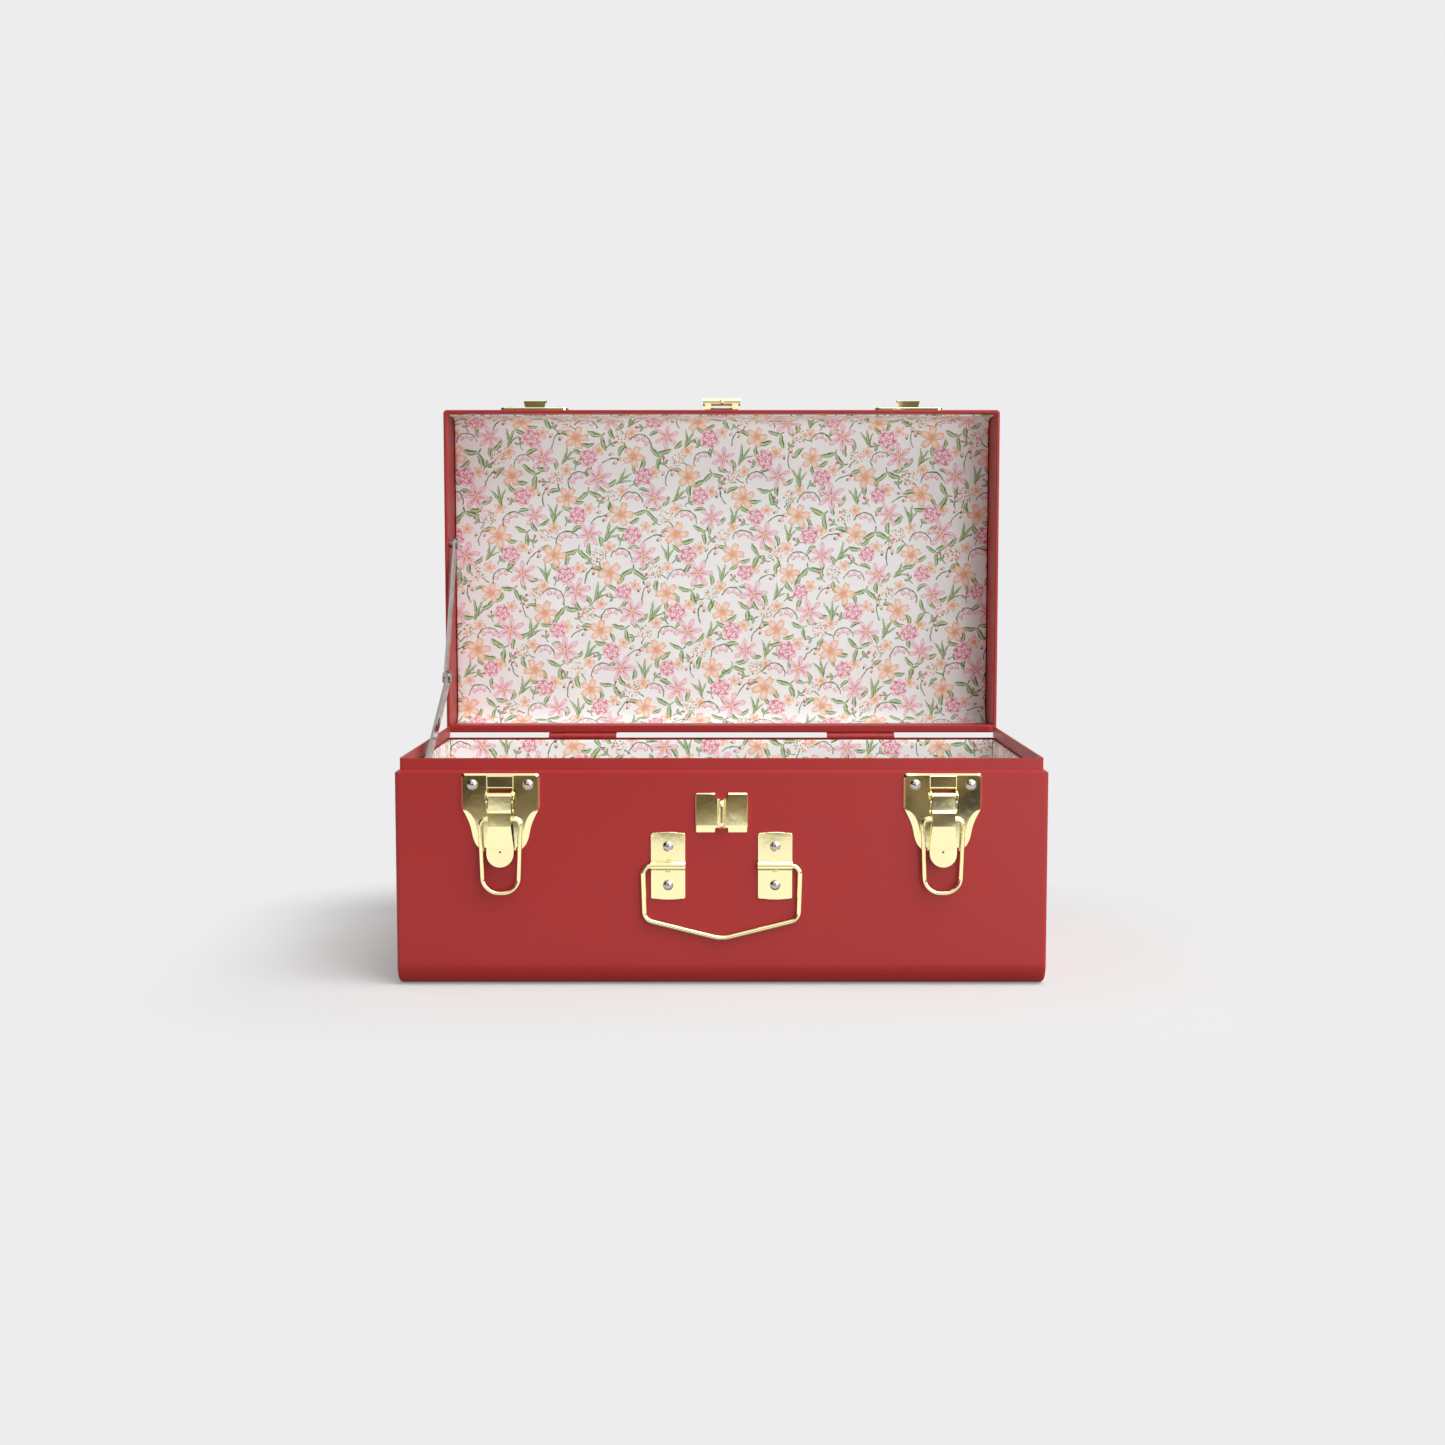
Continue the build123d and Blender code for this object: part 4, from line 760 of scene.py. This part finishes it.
# %% [markdown]
# ## The linings
#
# A lining is cloth glued over card and bent into the box. A modifier could bend a flat sheet, but a walk
# along the bends knows how far each point lies from the sheet's start, and that distance is the cloth's own
# map. The rows of the sheet come first. They stand at an even pitch, and closer at both ends, where the
# edge is eased.

# %% Space the rows
PITCH = 2.6 * MM
EASED = (0.0, 0.07 * MM, 0.25 * MM, 0.6 * MM)


def stations(length):
    """Places along a length, closer at both ends where the edge is eased."""
    count = max(2, round((length - 2 * EASED[-1]) / PITCH))
    middle = [EASED[-1] + (length - 2 * EASED[-1]) * i / count for i in range(1, count)]
    return list(EASED) + middle + [length - e for e in reversed(EASED)]


print("rows on 100 mm:", len(stations(100 * MM)))

# %% [markdown]
# The run is a line of straight stretches and round bends, given by its corners and one radius. The first
# helper lays the stretches down, and the second finds the place and the heading at any distance.

# %% Follow a bent run
CARD_BEND = 8.7 * MM


def bent_run(corners, radius):
    """Stretches of a run through its corners, each as start, heading, length and the bend's turn."""
    stretches = []
    for i in range(len(corners) - 1):
        a, b = Vector(corners[i]), Vector(corners[i + 1])
        heading = (b - a).normalized()
        start = a + heading * (radius if i else 0)
        length = (b - a).length - radius * ((i > 0) + (i < len(corners) - 2))
        stretches.append((start, heading, length, None))
        if i < len(corners) - 2:
            after = (Vector(corners[i + 2]) - b).normalized()
            stretches.append((start + heading * length, heading, radius * math.pi / 2, after))
    return stretches


def on_run(stretches, radius, s):
    """Place and heading on a run at a distance from its start."""
    for start, heading, length, after in stretches:
        if s <= length or (start, heading, length, after) == stretches[-1]:
            if after is None:
                return start + heading * s, heading
            t = s / radius
            place = start + heading * (radius * math.sin(t)) + after * (radius * (1 - math.cos(t)))
            return place, heading * math.cos(t) + after * math.sin(t)
        s -= length


print("one bend of the card takes", round(CARD_BEND * math.pi / 2 / MM, 1), "mm")

# %% [markdown]
# The card is flat, but the cloth on it is never quite true. It has slow ripples that fade out at its glued
# edges, and it wraps round the edges of the card. The hidden side keeps the card's true line, and only the
# side that shows is rippled. A cloth simulation suits loose cloth, but here the glue holds the cloth
# everywhere, and smooth noise is closer to the real thing.

# %% Shape the cloth on its card
CARD = 1.2 * MM
EDGE_SHARE = 0.35
RIPPLE, END_RIPPLE = 0.75 * MM, 0.25 * MM
RIPPLE_WIDE, RIPPLE_LONG = 0.022, 0.085
SWELL_SHARE, SWELL_SEED = 0.4, 5.0
GLUED = 0.012


def thickness(distance):
    """How thick the wrapped edge stands at a distance from it."""
    if distance >= EASED[-1]:
        return CARD
    share = 1 - distance / EASED[-1]
    return CARD * (EDGE_SHARE + (1 - EDGE_SHARE) * math.sqrt(max(0.0, 1 - share * share)))


def ripple(a, b, edge, seed, height):
    """Slow rise and fall of the cloth, none at a glued edge."""
    wave = noise.noise(Vector((a / RIPPLE_WIDE, b / RIPPLE_LONG, seed)))
    swell = noise.noise(Vector((a / RIPPLE_LONG, b / RIPPLE_WIDE, seed + SWELL_SEED)))
    fade = min(1.0, max(0.0, edge) / GLUED)
    return height * (wave + SWELL_SHARE * swell) * fade


print("card is", CARD / MM, "mm thick, and", round(thickness(0.0) / MM, 2), "mm at its edge")

# %% [markdown]
# Every lining is then a grid of rows. Solidify could give a grid its back, but the edge is thinner than the
# middle and only the front is rippled, so both sides are laid out here. One function closes any such grid
# with its rim, and writes the map that the print reads.

# %% Close a sheet
def rim_of(wide, tall):
    """The grid's outer points in order, round from its first corner."""
    rim = list(range(wide)) + [j * wide + wide - 1 for j in range(1, tall)]
    rim += [(tall - 1) * wide + i for i in range(wide - 2, -1, -1)]
    return rim + [j * wide for j in range(tall - 2, 0, -1)]


def closed_sheet(name, rows):
    """A closed sheet from rows of (back, front, map) points, and its cloth map."""
    wide, tall = len(rows[0]), len(rows)
    points = [p[side] for side in (0, 1) for row in rows for p in row]
    maps = [p[2] for row in rows for p in row] * 2
    front, faces = wide * tall, []
    for j in range(tall - 1):
        for i in range(wide - 1):
            q = [j * wide + i, j * wide + i + 1, (j + 1) * wide + i + 1, (j + 1) * wide + i]
            faces += [list(reversed(q)), [front + k for k in q]]
    rim = rim_of(wide, tall)
    faces += [[a, b, front + b, front + a] for a, b in zip(rim, rim[1:] + rim[:1])]
    mesh = bpy.data.meshes.new(name)
    mesh.from_pydata(points, [], faces)
    layer = mesh.uv_layers.new(name=CLOTH_MAP)
    for loop in mesh.loops:
        layer.data[loop.index].uv = maps[loop.vertex_index]
    mesh.shade_smooth()
    mesh.materials.append(cloth)
    sheet = bpy.data.objects.new(name, mesh)
    bpy.context.scene.collection.objects.link(sheet)
    return sheet


print("the rim of a grid of 4 by 3:", rim_of(4, 3))

# %% [markdown]
# The base has one strip over front, floor and back, and the lid has one over its front, panel and back.
# Both are channels: three straight runs and two bends. The strip's inner side is on the left of its
# heading. The base strip is cut a hair wider than its card, so that no dark line stands open in the
# corners, and the lid strip stops short of the lid's front edge.

# %% Line the front, floor and back
CORNER_FILL = 0.3 * MM
LID_STRIP_SHORT = 1.6 * MM


def strip(name, corners, x_low, x_high, seed):
    """A lining strip bent as a channel, with its length along the run."""
    stretches = bent_run(corners, CARD_BEND)
    length = sum(stretch[2] for stretch in stretches)
    rows = []
    for s in stations(length):
        place, heading = on_run(stretches, CARD_BEND, s)
        inward = Vector((-heading.y, heading.x))
        row = []
        for across in stations(x_high - x_low):
            x = x_low + across
            edge = min(s, length - s, across, x_high - x_low - across)
            shown = place + inward * (thickness(edge) + ripple(x, s, edge, seed, RIPPLE))
            row.append(((x, place.x, place.y), (x, shown.x, shown.y), (x, s)))
        rows.append(row)
    print(name, "is", round((x_high - x_low) / MM, 1), "by", round(length / MM, 1), "mm flat")
    return closed_sheet(name, rows), (x_high - x_low, length)


low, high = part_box("base_lining")
run = [(low.y, high.z), (low.y, low.z), (high.y, low.z), (high.y, high.z)]
base_strip, base_flat = strip("base_lining_cloth", run, low.x - CORNER_FILL, high.x + CORNER_FILL, 1.0)

low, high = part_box("lid_lining")
run = [(low.y + LID_STRIP_SHORT, low.z), (high.y, low.z), (high.y, high.z), (low.y, high.z)]
lid_strip, lid_flat = strip("lid_lining_cloth", run, low.x, high.x, 7.0)

# %% [markdown]
# Each end of the base has a panel of its own, with its lower corners rounded to the bend of the strip. The
# rows stay level, and each one is as wide as the rounded panel is at its height, so the corners are part of
# the grid and need no cutting. The ends are small and tightly glued, so they ripple less.

# %% Line the ends of the base
def end_panel(name, node, inward, seed):
    """A lining panel on an end plate, with its lower corners rounded."""
    low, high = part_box(node)
    half, tall = high.y, high.z - low.z
    wall = low.x if inward > 0 else high.x
    rows = []
    for up in stations(tall):
        drop = max(0.0, CARD_BEND - up)
        wide = half - CARD_BEND + math.sqrt(CARD_BEND * CARD_BEND - drop * drop)
        z = low.z + up
        row = []
        for share in [s / (2 * half) for s in stations(2 * half)]:
            y = wide * (2 * share - 1) * inward
            edge = min(up, tall - up, wide - abs(y))
            thick = thickness(edge) + ripple(y, up, edge, seed, END_RIPPLE)
            row.append(((wall, y, z), (wall + inward * thick, y, z), (y, up)))
        rows.append(row)
    return closed_sheet(name, rows), (2 * half, tall)


left_panel, end_flat = end_panel("base_left_lining_cloth", "base_left_lining", 1, 3.0)
right_panel, end_flat = end_panel("base_right_lining_cloth", "base_right_lining", -1, 4.0)
CORNER_LOSS = (2 - math.pi / 2) * CARD_BEND * CARD_BEND
end_area = end_flat[0] * end_flat[1] - CORNER_LOSS
print("an end panel covers", round(end_area / (MM * MM)), "square mm")

# %% [markdown]
# Each sheet takes the place of its plain solid, rides on its body, and says what it was cut to and which
# wall it is glued to.

# %% Glue the linings in
for sheet, node, body, flat, area, wall in (
    (base_strip, "base_lining", "base", base_flat, None, "base_wrap"),
    (left_panel, "base_left_lining", "base", end_flat, end_area, "base_left_end"),
    (right_panel, "base_right_lining", "base", end_flat, end_area, "base_right_end"),
    (lid_strip, "lid_lining", "lid", lid_flat, None, "lid_wrap"),
):
    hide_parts(node)
    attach(sheet, body)
    print(sheet.name, "has", len(sheet.data.polygons), "faces")

# %% [markdown]
# ## Rivets
#
# Domed rivets hold the hardware: bare nickel ones on the latches, the handle, the catches and the hasp, and
# enamelled ones on the hinges. Each could be a copy of one modelled head, set by hand, but they repeat, so
# one Geometry Nodes tree makes them. It pushes the lower half of a ball flat, scales the rest to the head's
# radius and rise, and sets it on every point, turned the way that the point faces. The tree is listed as
# three tables, because those are quicker to read than a call for each node and link.

# %% List the rivet tree
RIVET_SOCKETS = (
    ("Points", "INPUT", "NodeSocketGeometry"), ("Radius", "INPUT", "NodeSocketFloat"),
    ("Rise", "INPUT", "NodeSocketFloat"), ("Finish", "INPUT", "NodeSocketMaterial"),
    ("Rivets", "OUTPUT", "NodeSocketGeometry"),
)
RIVET_NODES = (
    ("start", "NodeGroupInput"), ("end", "NodeGroupOutput"), ("ball", "GeometryNodeMeshUVSphere"),
    ("where", "GeometryNodeInputPosition"), ("parts", "ShaderNodeSeparateXYZ"), ("lift", "ShaderNodeMath"),
    ("size_x", "ShaderNodeMath"), ("size_y", "ShaderNodeMath"), ("size_z", "ShaderNodeMath"),
    ("join", "ShaderNodeCombineXYZ"), ("shape", "GeometryNodeSetPosition"),
    ("facing", "GeometryNodeInputNamedAttribute"), ("aim", "FunctionNodeAlignRotationToVector"),
    ("set", "GeometryNodeInstanceOnPoints"), ("real", "GeometryNodeRealizeInstances"),
    ("smooth", "GeometryNodeSetShadeSmooth"), ("paint", "GeometryNodeSetMaterial"),
)
RIVET_LINKS = (
    ("where", 0, "parts", 0), ("parts", 2, "lift", 0),
    ("parts", 0, "size_x", 0), ("start", "Radius", "size_x", 1),
    ("parts", 1, "size_y", 0), ("start", "Radius", "size_y", 1),
    ("lift", 0, "size_z", 0), ("start", "Rise", "size_z", 1),
    ("size_x", 0, "join", 0), ("size_y", 0, "join", 1), ("size_z", 0, "join", 2),
    ("ball", 0, "shape", "Geometry"), ("join", 0, "shape", "Position"), ("shape", 0, "smooth", 0),
    ("start", "Points", "set", "Points"), ("smooth", 0, "set", "Instance"),
    ("facing", 0, "aim", "Vector"), ("aim", 0, "set", "Rotation"),
    ("set", 0, "real", 0), ("real", 0, "paint", 0),
    ("start", "Finish", "paint", "Material"), ("paint", 0, "end", 0),
)
print("rivet tree:", len(RIVET_NODES), "nodes and", len(RIVET_LINKS), "links")

# %% [markdown]
# The tree is built from the tables, and then what stays the same for every rivet is set on its nodes: a
# ball of radius 1, nought as the lowest height, and the name under which each point keeps its direction.

# %% Build the rivet tree
BALL_SEGMENTS, BALL_RINGS = 40, 24
FACING = "facing"


def rivet_tree():
    """A tree that sets a domed head on every point of a mesh."""
    tree = bpy.data.node_groups.new("domed rivets", "GeometryNodeTree")
    for label, way, kind in RIVET_SOCKETS:
        tree.interface.new_socket(label, in_out=way, socket_type=kind)
    made = {key: tree.nodes.new(kind) for key, kind in RIVET_NODES}
    made["ball"].inputs["Segments"].default_value = BALL_SEGMENTS
    made["ball"].inputs["Rings"].default_value = BALL_RINGS
    made["ball"].inputs["Radius"].default_value = 1.0
    made["lift"].operation = "MAXIMUM"
    made["lift"].inputs[1].default_value = 0.0
    for key in ("size_x", "size_y", "size_z"):
        made[key].operation = "MULTIPLY"
    made["facing"].data_type = "FLOAT_VECTOR"
    made["facing"].inputs["Name"].default_value = FACING
    made["aim"].axis = "Z"
    for a, out, b, into in RIVET_LINKS:
        tree.links.new(made[a].outputs[out], made[b].inputs[into])
    return tree


RIVET_TREE = rivet_tree()
RIVET_INPUTS = [item for item in RIVET_TREE.interface.items_tree if item.in_out == "INPUT"]
print("it takes", [item.name for item in RIVET_INPUTS])

# %% [markdown]
# The rivets' places could be typed in, but they would go wrong as soon as the model changes, so they are
# read from it. A node of rivets is one mesh of separate solids. Its faces are sorted into groups that share
# corners, and each group's middle, brought down to the plate, is a point.

# %% Find the rivets' places
WELD = 0.01 * MM


def solids_in(node):
    """Corners of each separate solid in a node's mesh, in steps of the weld."""
    data = nodes[node].data
    groups = []
    for polygon in data.polygons:
        keys = {tuple(round(c / WELD) for c in data.vertices[i].co) for i in polygon.vertices}
        touching = [group for group in groups if group & keys]
        groups = [group for group in groups if not group & keys] + [keys.union(*touching)]
    return groups


def rivet_places(node, facing, rise):
    """Where each rivet of a node meets its plate."""
    places = []
    for group in solids_in(node):
        corners = [Vector(key) * WELD for key in group]
        low = Vector(map(min, zip(*corners)))
        high = Vector(map(max, zip(*corners)))
        centre = (low + high) / 2
        reach = max(corner.dot(facing) for corner in corners)
        places.append(centre + facing * (reach - rise - centre.dot(facing)))
    return places


print("rivets on the handle's straps:", len(solids_in("handle_rivets")))

# %% [markdown]
# The tree runs as a modifier on a mesh of bare points. Its inputs are set by their sockets' identifiers
# before the mesh is first worked out. The result is copied to a plain mesh and the points go, so that no
# modifier is left on the finished piece.

# %% Grow heads on points
def heads_on(name, places, facing, values):
    """A plain mesh of domed heads on places that face one way."""
    mesh = bpy.data.meshes.new(name + "_points")
    mesh.from_pydata(places, [], [])
    for item in mesh.attributes.new(FACING, "FLOAT_VECTOR", "POINT").data:
        item.vector = facing
    holder = bpy.data.objects.new(name + "_points", mesh)
    bpy.context.scene.collection.objects.link(holder)
    modifier = holder.modifiers.new("rivets", "NODES")
    modifier.node_group = RIVET_TREE
    for item in RIVET_INPUTS:
        if item.name in values:
            modifier[item.identifier] = values[item.name]
    ready = holder.evaluated_get(bpy.context.evaluated_depsgraph_get())
    piece = bpy.data.objects.new(name, bpy.data.meshes.new_from_object(ready))
    bpy.data.objects.remove(holder)
    bpy.context.scene.collection.objects.link(piece)
    return piece


print("a head has", BALL_SEGMENTS * BALL_RINGS, "faces")

# %% [markdown]
# Rivets that face one way on one body become one piece, which takes the place of the plain ones and rides
# on their body. The large heads are on the front, and the small ones on the lid and the hinges. The lid's
# rivets face up and down, because the lid stands open.

# %% Set the rivets
BIG = {"Radius": 2.45 * MM, "Rise": 1.5 * MM}
SMALL = {"Radius": 1.9 * MM, "Rise": 0.9 * MM}
FRONT, BACK, UP, DOWN = (0, -1, 0), (0, 1, 0), (0, 0, 1), (0, 0, -1)


def rivets(name, members, facing, head, finish, body):
    """One piece of rivets for a body, in place of the plain ones."""
    facing = Vector(facing)
    places = [place for node in members for place in rivet_places(node, facing, head["Rise"])]
    piece = heads_on(name, places, facing, {**head, "Finish": finish})
    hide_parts(*members)
    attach(piece, body)
    print(name, "has", len(places), "rivets and", len(piece.data.polygons), "faces")


rivets("front_rivets", ["latch_left_rivets", "latch_right_rivets", "handle_rivets"],
       FRONT, BIG, nickel, "base")
rivets("catch_rivets", ["catch_left_rivets", "catch_right_rivets", "hasp_rivets"],
       UP, SMALL, nickel, "lid")
rivets("hinge_rivets_base", ["hinge_left_base_rivets", "hinge_right_base_rivets"],
       BACK, SMALL, enamel, "base")
rivets("hinge_rivets_lid", ["hinge_left_lid_rivets", "hinge_right_lid_rivets"],
       DOWN, SMALL, enamel, "lid")

# %% [markdown]
